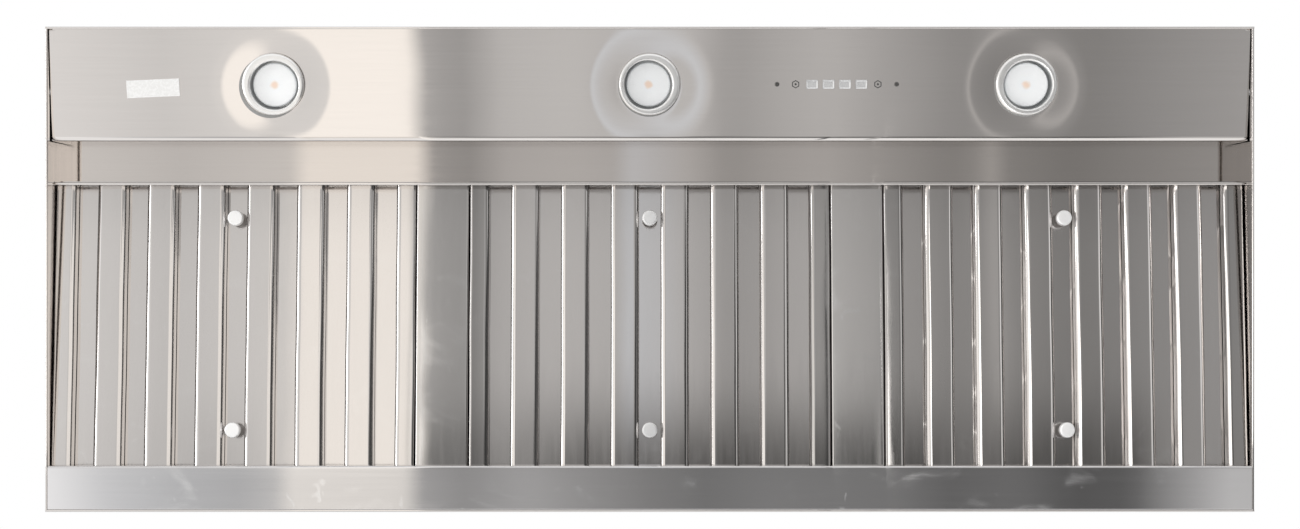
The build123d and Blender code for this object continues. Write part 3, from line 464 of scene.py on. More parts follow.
CASING = {"color": (0.60, 0.603, 0.605), "roughness": 0.24, "waves": 0.0003, "streaks": 0.07}
finish = {
    "housing_x": brushed_steel("housing_steel_x", "X"),
    "casing_x": brushed_steel("casing_steel_x", "X", welds="X", **CASING),
    "casing_y": brushed_steel("casing_steel_y", "Y", welds="Y", lengthways="Y", **CASING),
    "recess": brushed_steel("recess_steel", "X", color=(0.61, 0.572, 0.545)),
    "trough": brushed_steel("trough_steel", "X", color=(0.722, 0.71, 0.712), smudges=0.9, waves=0.00013),
    "filter": brushed_steel(
        "filter_steel", "Y", color=(0.645, 0.62, 0.605), smudges=0.2, waves=0.00005, flank=0.5
    ),
    # Painted shade: a darker copy of the filter steel, which the frames of filters 2 and 3 take so that they look more
    # shaded than filter 1's.
    "channel": brushed_steel(
        "channel_steel_shaded", "Y", color=(0.49, 0.473, 0.462), smudges=0.2, waves=0.00005, flank=0.5
    ),
    "divider": brushed_steel("divider_steel", "Y", color=(0.66, 0.64, 0.625), smudges=0.6, waves=0.0002, flank=0.5),
    "knob_chrome": polished("knob_chrome", (0.97, 0.97, 0.97), 0.42, metallic=0.45),
    "trim_chrome": polished("trim_chrome", (0.93, 0.925, 0.915), 0.36),
    "button_chrome": polished("button_chrome", (0.95, 0.95, 0.955), 0.24, metallic=0.75),
    "screw_dark": polished("screw_dark", (0.20, 0.195, 0.19), 0.32),
    "screw_steel": polished("screw_steel", (0.62, 0.61, 0.60), 0.30),
    "bulb_glass": frosted_lens(),
    "holder_ceramic": moulded("holder_ceramic", (0.86, 0.84, 0.80), 0.30),
    # Painted shade: the lamp seals are dark and pushed out to one side of each trim, as a dark crescent of shade.
    "seal_rubber_and_shade": moulded("seal_rubber_and_shade", (0.36, 0.36, 0.355), 0.5),
    "black_plastic": moulded("black_plastic", (0.035, 0.035, 0.04), 0.42),
    "motor_paint": moulded("motor_paint", (0.045, 0.045, 0.05), 0.32, size=300.0, depth=0.00005),
    "capacitor_shell": moulded("capacitor_shell", (0.78, 0.78, 0.75), 0.25),
    "wire_sleeve": moulded("wire_sleeve", (0.08, 0.08, 0.09), 0.75, size=1500.0, depth=0.00015),
    "galvanised": galvanised_sheet(),
    "dark_mark": moulded("dark_mark", (0.10, 0.10, 0.10), 0.5),
    "label_paper": blank_label(),
}

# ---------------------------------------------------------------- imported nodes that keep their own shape
carried = {
    "casing_x": ["top_panel"],
    "housing_x": ["compartment_wall"],
    "recess": ["recess_ceiling"],
    "galvanised": [
        "hanger_plates", "blower_scroll_wrap", "blower_side_plates", "blower_inlet_rings", "blower_wheel",
        "motor_bracket", "junction_box", "junction_box_cover", "knockout_plate", "damper_flap_rear",
        "damper_flap_front", "damper_rod",
    ],
    "screw_steel": ["panel_screws", "blower_shaft"],
    "motor_paint": ["blower_motor"],
    "capacitor_shell": ["run_capacitor"],
    "black_plastic": ["control_module", "lamp_driver"],
    "wire_sleeve": ["wiring_loom"],
    "holder_ceramic": ["lamp_holder_left", "lamp_holder_centre", "lamp_holder_right"],
}
for key, names in carried.items():
    for name in names:
        slots = frame["nodes"][name].data.materials
        slots.clear()
        slots.append(finish[key])


# ---------------------------------------------------------------- housing
def wall_section(half, side):
    """Section of a wall and its rim, which is folded back inside."""
    section = [(side * half, HEIGHT), (side * half, 0), (side * (half - HEM), 0), (side * (half - HEM), HEM_HEIGHT)]
    return section if side < 0 else section[::-1]


def housing_walls():
    """Four walls with their rims folded back inside, and the end flanges of the front and rear ones."""
    inner_y, inner_x = HALF_DEPTH - SHEET, HALF_WIDTH - SHEET
    for name, side in (("front_panel", -1), ("rear_panel", 1)):
        parts = [folded(wall_section(HALF_DEPTH, side), "X", -HALF_WIDTH, HALF_WIDTH, bend=1.45, cuts=40)]
        low, high = sorted((side * inner_y, side * (inner_y - 12)))
        for x in (SHEET - inner_x, inner_x):
            parts.append(folded([(x, 13), (x, 291.8)], "Y", low, high))
        finished(name + "_folded", joined(parts), finish["casing_x"], "housing", [name])
    for name, side in (("left_side_panel", -1), ("right_side_panel", 1)):
        wall = folded(wall_section(HALF_WIDTH, side), "Y", -inner_y, inner_y, bend=1.45, cuts=20)
        finished(name + "_folded", wall, finish["casing_y"], "housing", [name])


def dish_depth(x, y):
    """How far the light panel is pressed in round a lamp: a shallow bowl that fades out."""
    flat, full, edge, slope, steeper, rearward = 38.0, 62.0, 80.0, 0.060, 0.00035, 2.5
    depth = 0.0
    for lamp_x in LAMP_PLACES.values():
        r = ((x - lamp_x) ** 2 + (y - LAMP_Y - rearward) ** 2) ** 0.5
        if r >= edge:
            continue
        fade = (edge - max(r, full)) / (edge - full)
        inward = full - min(max(r, flat), full)
        depth += slope * (edge - full) * fade * fade / 2 + slope * inward + steeper * inward * inward
    front, rear = y - PANEL_FRONT[0], PANEL_REAR[0] - y
    return depth * min(1.0, max(0.0, min(front, rear)) / 14.0) ** 0.5


def grown_rim(shape, y, rim=None):
    """Extrudes a rim edge by edge, and gives the new points and edges. The rim is the open one at y at first."""
    rim = rim or [e for e in shape.edges if e.is_boundary and all(abs(v.co.y - y) < 0.01 for v in e.verts)]
    grown = bmesh.ops.extrude_edge_only(shape, edges=rim)["geom"]
    verts = {g for g in grown if isinstance(g, bmesh.types.BMVert)}
    return verts, [g for g in grown if isinstance(g, bmesh.types.BMEdge) and set(g.verts) <= verts]


def cut_openings(shape):
    """Cuts the flat panel for its lamps and buttons, and rounds the edges of the lamps' holes."""
    half_x, half_y = BUTTON_HOLE
    cuts = [((x + side * half_x, 0, 0), (1, 0, 0)) for x in BUTTONS for side in (-1, 1)]
    cuts += [((0, LAMP_Y + side * half_y, 0), (0, 1, 0)) for side in (-1, 1)]
    for place, normal in cuts:
        bmesh.ops.bisect_plane(
            shape, geom=shape.verts[:] + shape.edges[:] + shape.faces[:], dist=0.001, plane_co=place, plane_no=normal
        )
    gone = []
    for face in shape.faces:
        spot = face.calc_center_median()
        in_lamp = any((spot.x - x) ** 2 + (spot.y - LAMP_Y) ** 2 < LAMP_HOLE ** 2 for x in LAMP_PLACES.values())
        in_button = abs(spot.y - LAMP_Y) < half_y and any(abs(spot.x - x) < half_x for x in BUTTONS)
        if in_lamp or in_button:
            gone.append(face)
    bmesh.ops.delete(shape, geom=gone, context="FACES")
    for v in shape.verts:
        for x in LAMP_PLACES.values():
            flat = Vector((v.co.x - x, v.co.y - LAMP_Y))
            if v.is_boundary and flat.length < LAMP_HOLE + 8.5:
                flat = flat.normalized() * LAMP_HOLE
                v.co.x, v.co.y = x + flat.x, LAMP_Y + flat.y


def fold_front(shape):
    """Folds the panel's front edge upward."""
    y, top = PANEL_FRONT[0], PANEL_FRONT[1] + 14
    for v in grown_rim(shape, y)[0]:
        v.co.z = top
    fold = [
        e for e in shape.edges
        if not e.is_boundary and all(abs(v.co.y - y) < 0.01 and v.co.z < top - 1 for v in e.verts)
    ]
    bmesh.ops.bevel(
        shape, geom=fold, offset=2.4, offset_type="OFFSET", segments=5, profile=0.5, affect="EDGES", material=-1
    )


def curl_rear(shape):
    """Rounds the panel's rear edge upward, and carries it on to the recess ceiling as a flange."""
    rise = CURL_SETBACK * tan(PANEL_TILT)
    for v in shape.verts:
        if v.is_boundary and abs(v.co.y - PANEL_REAR[0]) < 0.01:
            v.co.y -= CURL_SETBACK
            v.co.z -= rise
    y, z = PANEL_REAR[0] - CURL_SETBACK, PANEL_REAR[1] - rise
    start, end = CURL_TURN
    centre = (y + 0.3 - CURL_RADIUS * sin(radians(start)), z + 0.1 + CURL_RADIUS * cos(radians(start)))
    section = arc(centre, CURL_RADIUS, start - 90, end - 90, 6)
    back, upper = section[-1][0] + 0.3, section[-1][1] + 1.2
    rim = None
    for place_y, place_z in [*section, (back, upper), (back, RECESS_CEILING)]:
        verts, rim = grown_rim(shape, y, rim)
        for v in verts:
            v.co.y, v.co.z = place_y, place_z


def light_panel():
    """The lamps' panel: pressed in round each lamp, cut for lamps and buttons, folded at front and rear."""
    shape = grid(0.5, 380, 38)
    bmesh.ops.scale(shape, vec=(2 * PANEL_HALF, PANEL_REAR[0] - PANEL_FRONT[0], 1), verts=shape.verts)
    bmesh.ops.translate(shape, vec=(0, (PANEL_REAR[0] + PANEL_FRONT[0]) / 2, 0), verts=shape.verts)
    cut_openings(shape)
    for v in shape.verts:
        lift = PANEL_FRONT[1] + (v.co.y - PANEL_FRONT[0]) * tan(PANEL_TILT)
        ripple = 0.10 * noise.noise(Vector((v.co.x / 90, v.co.y / 60, 3.1)))
        v.co.z = lift + dish_depth(v.co.x, v.co.y) + ripple
    fold_front(shape)
    curl_rear(shape)
    bmesh.ops.recalc_face_normals(shape, faces=shape.faces)
    low = min(shape.faces, key=lambda f: f.calc_center_median().z + 1e3 * (abs(f.normal.z) < 0.9))
    if low.normal.z > 0:
        bmesh.ops.reverse_faces(shape, faces=shape.faces)
    shape.normal_update()
    bmesh.ops.solidify(shape, geom=list(shape.faces), thickness=SHEET)
    finished("light_panel_pressed", shape, finish["housing_x"], "housing", ["light_panel"])


def recess_and_trough():
    """Hemmed bar in front of the filters, the grease trough behind them and the dividers between them."""
    y, top, low = BAR
    bar = folded(
        [(y + 3.4, top), (y, top), (y, low), (y + 3.6, low), (y + 3.6, top - 1.4)],
        "X", 1.2 - HALF_WIDTH, HALF_WIDTH - 1.2, bend=1.7, cuts=60,
    )
    wavy(bar, 0.25, 120.0, 5.3, still=(0,))
    finished("filter_bar_hemmed", bar, finish["housing_x"], "housing", ["filter_front_bar"])
    lip, lip_z = TROUGH_LIP
    rear = HALF_DEPTH - HEM
    section = [(lip, lip_z)] + arc((lip + 3.0, 3.0), 3.0, 180, 270)
    section += arc((rear - 0.8, 0.8), 0.8, 270, 360, 3) + [(rear, 20)]
    trough = folded(section, "X", -HALF_WIDTH + HEM, HALF_WIDTH - HEM, bend=0, cuts=60)
    for v in trough.verts:
        if v.co.z < 4:
            v.co.z += max(0.0, 0.12 + 0.12 * noise.noise(Vector((v.co.x / 110, v.co.y / 40, 8.0))))
    finished("grease_trough_folded", trough, finish["trough"], "housing", ["grease_trough"])
    for name, side in (("left", -1), ("right", 1)):
        section = [(-DIVIDER_HALF, 20), (-DIVIDER_HALF, 0), (DIVIDER_HALF, 0), (DIVIDER_HALF, 20)]
        strip = folded(section, "Y", 1.7, FILTER_LENGTH - 12.6, bend=2.6, cuts=24)
        for v in strip.verts:
            v.co.z += 0.25 * noise.noise(Vector((v.co.x / 50, v.co.y / 70, side * 4.0)))
        moved(strip, filter_seat(2 + side / 2))
        node = f"filter_divider_{name}"
        finished(node + "_folded", strip, finish["divider"], "housing", [node])


# ---------------------------------------------------------------- filters
def eased_edge(x):
    """Section of a lower baffle's right edge: a slow easing, a tight fold and the flange above it."""
    return arc((x - 6.6, 8.0), 8.0, 270, 320, 8) + arc((x - 2.0, 4.14), 2.0, 320, 360, 4)[1:] + [(x, 17.5)]


def mirrored(section):
    return [(-x, z) for x, z in reversed(section)]


def baffle(points, x, seed, short=0.0, bend=0.0):
    """One folded strip of a filter, a little wavy along its length."""
    strip = folded(points, "Y", FILTER_SHEET + short, FILTER_LENGTH - FILTER_SHEET - short, FILTER_SHEET, bend, cuts=18)
    for v in strip.verts:
        slow = noise.noise(Vector((seed, v.co.y / 95, 0.3)))
        quick = noise.noise(Vector((seed, v.co.y / 38, 7.7)))
        v.co.x += 0.45 * slow + 0.05 * quick
        v.co.z += 0.05 * noise.noise(Vector((seed + v.co.x / 30, v.co.y / 80, 2.0)))
    return moved(strip, Matrix.Translation((x, 0, 0)))


def filter_pieces(i):
    """Side channels and end plates, six lower and seven upper baffles, and two round pulls."""
    body, seat, seed = f"filter_{i}", filter_seat(i), 10.0 * i
    half, top, channel_top = FILTER_HALF, FILTER_DEPTH - FILTER_SHEET, 18.6
    left = [(-half + 6, channel_top)] + arc((-half + BAFFLE_BEND, channel_top - BAFFLE_BEND), BAFFLE_BEND, 90, 180)
    left += arc((-half + BAFFLE_BEND, BAFFLE_BEND), BAFFLE_BEND, 180, 270) + eased_edge(-half + SIDE_CHANNEL)
    frame_parts = [baffle(left, 0, seed + 0.5), baffle(mirrored(left), 0, seed + 0.9)]
    frame_parts.append(
        folded([(10, FILTER_DEPTH), (0, FILTER_DEPTH), (0, -4)], "X", -half, half, FILTER_SHEET, 2.0, cuts=12)
    )
    end = FILTER_LENGTH
    frame_parts.append(
        folded([(end, 0), (end, FILTER_DEPTH), (end - 10, FILTER_DEPTH)], "X", -half, half, FILTER_SHEET, 2.0, cuts=12)
    )
    # Painted shade: only filter 1's frame has the plain filter steel; the frames of filters 2 and 3 have its darker
    # copy.
    steel, channel = finish["filter"], finish["filter" if i == 1 else "channel"]
    lower = mirrored(eased_edge(17.5)) + eased_edge(17.5)
    lower_parts = [baffle(lower, (k - 2.5) * BAFFLE_PITCH, seed + k + 1.3) for k in range(6)]
    upper = [(20, top - 15), (20, top), (-20, top), (-20, top - 15)]
    upper_parts = [baffle(upper, (k - 3) * BAFFLE_PITCH, seed + k + 4.7, 2.4, BAFFLE_BEND) for k in range(7)]
    for part, shapes, material in (
        ("frame", frame_parts, channel), ("lower_baffles", lower_parts, steel), ("upper_baffles", upper_parts, steel)
    ):
        node = f"{body}_{part}"
        finished(node + "_folded", moved(joined(shapes), seat), material, body, [node])
    outline = [(0, -7.0), (6.8, -6.9)] + arc((7.3, -4.6), 2.2, -85, 0) + arc((7.3, 2.8), 2.2, 0, 90)
    outline += [(4.6, 5.0)] + arc((4.6, 5.6), 0.6, 270, 180, 3) + [(4.0, 20.0), (0, 20.0)]
    knobs = [moved(spun(outline, 48), Matrix.Translation((0, y, 0))) for y in (45.5, FILTER_LENGTH - 57.5)]
    node = f"{body}_knobs"
    finished(node + "_turned", moved(joined(knobs), seat), finish["knob_chrome"], body, [node])


# ---------------------------------------------------------------- lamps
def lamp(name, x, lean, shade_slip):
    """Trim ring with its can, which leans a little, the dark seal that slips out to one side under it as a crescent of
    painted shade, and the bulb's face.
    """
    seat = panel_seat(x)
    section = [(30.0, -40.0), (30.0, 3.0)] + arc((32.4, 4.1), 2.4, 180, 90)
    section += arc((34.6, 3.1), 3.4, 90, 0) + [(TRIM_RADIUS, 0.05), (31.2, 0.05), (31.2, -48.0)]
    section += [(9.3, -48.0), (9.3, -46.8), (29.0, -46.8)]
    ring = spun(section, 96, turn=True)
    for v in ring.verts:
        if v.co.z > -30:
            r = (v.co.x ** 2 + v.co.y ** 2) ** 0.5
            share = min(1.0, max(0.0, (TRIM_RADIUS - r) / 8.0)) * min(1.0, (v.co.z + 30) / 30)
            v.co.x += lean[0] * share
            v.co.y += lean[1] * share
    node = f"lamp_trim_{name}"
    finished(node + "_turned", moved(ring, seat), finish["trim_chrome"], "housing", [node])
    # Painted shade: the dark seal is moved off centre so that it shows on one side of the trim as a dark crescent.
    seal = spun([(34.6, -2.1), (38.3, -2.1), (38.3, -0.1), (34.6, -0.1)], 96, turn=True)
    moved(seal, seat @ Matrix.Translation((*shade_slip, 0)))
    finished(f"lamp_seal_shade_{name}", seal, finish["seal_rubber_and_shade"], "housing")
    face = [(0, -4.2), (4.5, -4.25)] + [(r, -4.2 - 0.0016 * r * r) for r in (9, 14, 19, 24)]
    face += arc((25.2, -7.2), 1.8, 80, 0, 4) + [(BULB_RADIUS, -9.0), (24.5, -19.0), (19.0, -30.0), (12.5, -38.0)]
    face += [(9.0, -44.0), (9.0, -50.0), (0, -50.0)]
    bulb = spun(face, 72)
    shift = 0.7 * Vector(lean)  # of the part that shows
    for v in bulb.verts:
        if v.co.z > -16:
            v.co.x += shift.x
            v.co.y += shift.y
    radius = bulb.verts.layers.float.new("from_axis")
    angle = bulb.verts.layers.float.new("round_axis")
    for v in bulb.verts:
        flat = v.co.xy - shift
        v[radius] = (flat.length if v.co.z > -16 else BULB_RADIUS) * MM
        v[angle] = atan2(flat.y, flat.x)
    node = f"lamp_bulb_{name}"
    finished(node + "_turned", moved(bulb, seat), finish["bulb_glass"], "housing", [node])


# ---------------------------------------------------------------- controls
def controls():
    """Four caps with dished tops, their two screws, and two bare hexagon marks."""
    for i, x in enumerate(BUTTONS, 1):
        cap = block((14.0, 10.5, 4.2), -0.9)
        top = max(cap.faces, key=lambda f: f.calc_center_median().z)
        bmesh.ops.inset_region(cap, faces=[top], thickness=2.3)
        bmesh.ops.translate(cap, vec=(0, -0.7, -0.9), verts=top.verts)
        bmesh.ops.bevel(
            cap, geom=[e for e in cap.edges if not e.is_boundary], offset=0.45, offset_type="OFFSET", segments=3,
            profile=0.5, affect="EDGES", material=-1,
        )
        whole = moved(joined([cap, block((16.6, 13.1, 1.5), -2.25)]), panel_seat(x))
        node = f"button_{i}"
        finished(node + "_cap", whole, finish["button_chrome"], node, [node])
    heads = []
    for side in (-1, 1):
        outline = [(0, -10.0), (1.5, -10.0), (1.5, 0.0), (3.0, 0.02)] + arc((2.1, 0.9), 0.9, 0, 80, 5)
        outline += [(1.7, 1.9), (1.6, 0.5), (0, 0.3)]
        heads.append(moved(spun(outline, 32), panel_seat(CONTROL_X + side * SCREW_FROM_MIDDLE)))
    finished("control_screws_turned", joined(heads), finish["screw_dark"], "housing", ["control_screws"])
    marks = []
    for side in (-1, 1):
        mark = bmesh.new()
        bmesh.ops.create_circle(mark, cap_ends=True, segments=6, radius=5.1)
        bmesh.ops.inset_region(mark, faces=list(mark.faces), thickness=1.3, use_boundary=True)
        middle = min(mark.faces, key=lambda f: f.calc_center_median().length)
        bmesh.ops.delete(mark, geom=[middle], context="FACES")
        bmesh.ops.solidify(mark, geom=list(mark.faces), thickness=0.15)
        dot = bmesh.new()
        bmesh.ops.create_circle(dot, cap_ends=True, segments=16, radius=1.4)
        bmesh.ops.solidify(dot, geom=list(dot.faces), thickness=0.15)
        mark = moved(joined([mark, dot]), Matrix.Translation((0, 0, 0.3)))
        marks.append(moved(mark, panel_seat(CONTROL_X + side * MARK_FROM_MIDDLE)))
    finished("button_marks", joined(marks), finish["dark_mark"], "housing")


def label():
    """Bare paper label on the light panel, set slightly askew."""
    paper = grid(0.5, 16, 6)
    bmesh.ops.scale(paper, vec=(65.0, 21.5, 1), verts=paper.verts)
    for v in paper.verts:
        v.co.z = 0.25 + 0.15 * noise.noise(v.co / 14) + 0.25 * max(0.0, abs(v.co.x) - 28) / 4
    bmesh.ops.solidify(paper, geom=list(paper.faces), thickness=0.12)
    moved(paper, Matrix.Rotation(radians(2.5), 4, "Z"))
    finished("blank_label", moved(paper, panel_seat(-611.0, -5.0)), finish["label_paper"], "housing")


# ---------------------------------------------------------------- top
def duct_collar():
    """Round collar with a rounded foot on its flange, and two faint rings round it."""
    bore = DUCT_RADIUS - SHEET
    outline = [(bore, 0.0), (DUCT_FLANGE, 0.0), (DUCT_FLANGE, SHEET), (DUCT_RADIUS + 1.7, SHEET)]
    outline += arc((DUCT_RADIUS + 1.7, SHEET + 1.7), 1.7, 270, 180, 4)
    for z in (20.0, 46.0):
        bead = arc((DUCT_RADIUS - 0.3, z), 1.1, -75, 75, 6)
        outline += [(DUCT_RADIUS, z - 2.5), *bead, (DUCT_RADIUS, z + 2.5)]
    outline += [(DUCT_RADIUS, 60.0), (bore, 60.0)]
    outline = [(min(r, DUCT_RADIUS) if z > 3 else r, z) for r, z in outline]
    collar = spun(outline, 128, turn=True)
    moved(collar, Matrix.Translation((0, DUCT_Y, HEIGHT)))
    return collar


def top_fasteners():
    """Hex-head screws round the collar's flange and the knockout plate, and rivets along the lid."""
    screws = []
    outline = [(0, 0), (4.6, 0), (4.6, 0.7), (0, 0.9)]

    def hex_head(x, y, z):
        washer = spun(outline, 24)
        head = bmesh.new()
        bmesh.ops.create_cone(head, cap_ends=True, segments=6, radius1=3.6, radius2=3.4, depth=2.6)
        bmesh.ops.translate(head, vec=(0, 0, 2.0), verts=head.verts)
        return moved(joined([washer, head]), Matrix.Translation((x, y, z)))

    for k in range(8):
        turn = radians(22.5 + 45 * k)
        screws.append(hex_head(136.5 * cos(turn), DUCT_Y + 136.5 * sin(turn), HEIGHT + 1.2))
    for dx in (-22, 22):
        for dy in (-22, 22):
            screws.append(hex_head(330 + dx, -235 + dy, HEIGHT + 1.5))
    finished("top_screws", joined(screws), finish["screw_steel"], "housing")
    rivets = []
    dome = [(0, 0)] + arc((0, -2.4), 4.0, 37, 90, 5)
    for side in (-1, 1):
        for k in range(9):
            place = ((k - 4) * 170.0, side * 290.0, HEIGHT - 0.02)
            rivets.append(moved(spun(dome, 20), Matrix.Translation(place)))
    finished("lid_rivets", joined(rivets), finish["screw_steel"], "housing")


housing_walls()
light_panel()
recess_and_trough()
for index in (1, 2, 3):
    filter_pieces(index)
# Each lamp's last pair moves its dark seal off centre, a crescent of painted shade beside the trim.
lamp("left", LAMP_PLACES["left"], (1.5, -1.3), (-4.0, -3.2))
lamp("centre", LAMP_PLACES["centre"], (-2.4, -0.6), (-0.6, -1.6))
lamp("right", LAMP_PLACES["right"], (1.4, -1.0), (-0.8, -1.4))
controls()
label()
finished("duct_collar_beaded", duct_collar(), finish["galvanised"], "housing", ["duct_collar"])
top_fasteners()


# ---------------------------------------------------------------- floor, light and camera
def stage_piece(name, shape, material):
    """Piece of the surroundings, already in metres."""
    mesh = bpy.data.meshes.new(name)
    shape.to_mesh(mesh)
    shape.free()
    mesh.materials.append(material)
    piece = bpy.data.objects.new(name, mesh)
    bpy.context.scene.collection.objects.link(piece)
    return piece


def floor_paint():
    """Pale floor that fades to white well away from the hood. Its underside lets the camera through."""
    material = bpy.data.materials.new("floor_paint")
    paint = Nodes(material)
    shader = paint.tree.nodes["Principled BSDF"]
    shader.inputs["Base Color"].default_value = (0.86, 0.86, 0.86, 1)
    shader.inputs["Roughness"].default_value = 0.8
    camera_ray, seen = paint.watched()
    place = paint.add("ShaderNodeTexCoord").outputs["Object"]
    away = paint.add("ShaderNodeVectorMath", {"operation": "LENGTH"}, Vector=place).outputs["Value"]
    under = paint.add("ShaderNodeNewGeometry").outputs["Backfacing"]
    top = shader.outputs[0]
    for share, other in (
        (paint.math("MULTIPLY", paint.span(away, 1.2, 5.0), seen), "ShaderNodeEmission"),
        (paint.math("MULTIPLY", under, camera_ray), "ShaderNodeBsdfTransparent"),
    ):
        mix = paint.add("ShaderNodeMixShader")
        for socket, value in enumerate((share, top, paint.add(other).outputs[0])):
            paint.put(mix, socket, value)
        top = mix.outputs[0]
    paint.surface(top)
    return material


def floor():
    """Wide floor with an opening the size of the hood."""
    shape = grid(14.0)
    half = (HALF_WIDTH * MM, HALF_DEPTH * MM)
    for axis in (0, 1):
        for side in (-1, 1):
            normal = [0, 0, 0]
            normal[axis] = 1
            place = [0, 0, 0]
            place[axis] = side * half[axis]
            everything = shape.verts[:] + shape.edges[:] + shape.faces[:]
            bmesh.ops.bisect_plane(shape, geom=everything, plane_co=place, plane_no=normal)
    middle = min(shape.faces, key=lambda f: f.calc_center_median().length)
    bmesh.ops.delete(shape, geom=[middle], context="FACES")
    stage_piece("floor", shape, floor_paint())


CARD_DROP = 1.0  # metres, ground card below the rim
CARD_HALF = 4.0  # metres, from its middle to its edge
CARD_SPREAD = 1 + CARD_DROP / CAMERA_DROP
# Light on the ground card: X where the camera sees it in flat steel, in metres, then level and warmth.
# The first line is mirrored by the light panel and most of the filters, the second by the filters' rear
# ends and the third by the trough.
CARD_LINES = [
    [
        (-2.9, 1.0, 0), (-1.15, 1.4, 0), (-0.95, 0.85, 0.2), (-0.74, 0.93, 0.2), (-0.60, 0.80, 0.2),
        (-0.50, 0.88, 0.3), (-0.446, 0.90, 0.4), (-0.438, 1.22, 0.95), (-0.30, 1.22, 0.95), (-0.289, 1.16, 0.95),
        (-0.283, 0.53, 0.2), (-0.235, 0.42, 0.2), (-0.18, 0.64, 0.2), (-0.10, 0.68, 0.2), (-0.045, 0.64, 0.2),
        (-0.03, 0.80, -0.8), (0.05, 0.64, 0.2), (0.10, 0.45, 0.2), (0.16, 0.54, 0.2),
        (0.22, 0.60, 0.2), (0.30, 0.47, 0.2), (0.38, 0.35, 0.2), (0.412, 0.36, 0.2), (0.43, 0.60, 0.4),
        (0.45, 0.36, 0.2), (0.54, 0.29, 0.2), (0.62, 0.35, 0.1), (0.77, 0.46, 0.1),
        (0.80, 1.0, 0), (1.4, 1.0, 0), (1.5, 0.07, 0),
    ],
    [
        (-2.9, 1.0, 0), (-1.15, 1.4, 0), (-0.95, 0.85, 0.2), (-0.74, 0.90, 0.2), (-0.60, 0.74, 0.2), (-0.54, 0.66, 0.2),
        (-0.446, 0.90, 0.4), (-0.438, 1.24, 1.0), (-0.30, 1.24, 1.0), (-0.283, 0.24, 0.2), (-0.235, 0.20, 0.2),
        (-0.18, 0.36, 0.2), (-0.10, 0.20, 0.2), (0.0, 0.18, 0.2), (0.10, 0.11, 0.2), (0.22, 0.16, 0.2),
        (0.30, 0.08, 0.2), (0.40, 0.20, 0.2), (0.48, 0.10, 0.2), (0.54, 0.11, 0.2), (0.60, 0.12, 0.2),
        (0.66, 0.38, 0.2), (0.77, 0.40, 0.1), (0.80, 0.8, 0), (1.4, 0.8, 0), (1.5, 0.07, 0),
    ],
    [
        (-2.9, 1.0, 0), (-1.15, 1.4, 0), (-0.95, 0.95, 0.2), (-0.74, 1.10, 0.0), (-0.66, 0.76, -0.2),
        (-0.58, 0.62, -0.2), (-0.50, 0.56, -0.1),
        (-0.446, 0.70, 0.4), (-0.438, 0.94, 1.0), (-0.30, 0.88, 1.0), (-0.283, 0.46, 0.2), (-0.225, 0.36, 0.2),
        (-0.15, 0.47, 0.2), (-0.07, 0.36, 0.2), (0.0, 0.27, 0.2), (0.07, 0.22, 0.1), (0.15, 0.26, 0.1),
        (0.30, 0.23, 0.1), (0.37, 0.16, 0.1), (0.45, 0.19, 0.1), (0.52, 0.12, 0.1), (0.59, 0.14, 0.1),
        (0.66, 0.42, 0.1), (0.71, 0.64, 0.1), (0.78, 0.60, 0.1), (0.84, 0.07, 0),
    ],
]
CARD_STEPS = [(0.0, 0.19), (0.24, 0.32)]  # Y on the card, metres, where one line gives way to the next


def card_color(level, warmth):
    """A grey of a level, tinted toward yellow by its warmth."""
    return (level * (1 + 0.04 * warmth), level, level * (1 - 0.055 * warmth))


def glow_material(name):
    """A glowing material, its nodes and its shader."""
    material = bpy.data.materials.new(name)
    glow = Nodes(material)
    glow.tree.nodes.remove(glow.tree.nodes["Principled BSDF"])
    shine = glow.add("ShaderNodeEmission")
    glow.surface(shine.outputs[0])
    return material, glow, shine


def ground_card():
    """Wide glowing card under the hood, which flat steel mirrors: its tone changes from left to right."""
    shape = grid(CARD_HALF)
    bmesh.ops.translate(shape, vec=(0, 0, -CARD_DROP), verts=shape.verts)
    material, glow, shine = glow_material("ground_glow")
    card_x, card_y = glow.axes(glow.add("ShaderNodeTexCoord").outputs["Object"])[:2]
    reach = glow.math("DIVIDE", glow.math("ADD", card_x, CARD_HALF), 2 * CARD_HALF)
    color = None
    for line, step in zip(CARD_LINES, [None, *CARD_STEPS]):
        ramp = glow.add("ShaderNodeValToRGB", Fac=reach)
        tones = ramp.color_ramp
        spots = [
            ((x * CARD_SPREAD / CARD_HALF + 1) / 2, (*card_color(level, warmth), 1)) for x, level, warmth in line
        ]
        tones.elements[0].position, tones.elements[0].color = spots[0]
        tones.elements[1].position, tones.elements[1].color = spots[-1]
        for position, tone in spots[1:-1]:
            tones.elements.new(position).color = tone
        color = glow.tint(glow.span(card_y, *step), color, ramp.outputs[0]) if step else ramp.outputs[0]
    ends = glow.math("MAXIMUM", glow.span(card_y, -0.65, -1.0), glow.span(card_y, 0.55, 0.85))
    near_front = glow.span(card_y, -0.20, -0.34, 1.0, 0.84)
    dimmed = glow.add("ShaderNodeVectorMath", {"operation": "SCALE"}, Vector=color, Scale=near_front).outputs[0]
    glow.put(shine, "Color", glow.tint(ends, dimmed, (1.08, 1.08, 1.08)))
    stage_piece("ground_card", shape, material).visible_camera = False


def glowing(name, shape, front, back):
    """Plain glowing card that the camera doesn't see. Its two sides have a level and a warmth each."""
    material, glow, shine = glow_material(name)
    side = glow.add("ShaderNodeNewGeometry").outputs["Backfacing"]
    glow.put(shine, "Color", glow.tint(side, card_color(*front), card_color(*back)))
    stage_piece(name, shape, material).visible_camera = False


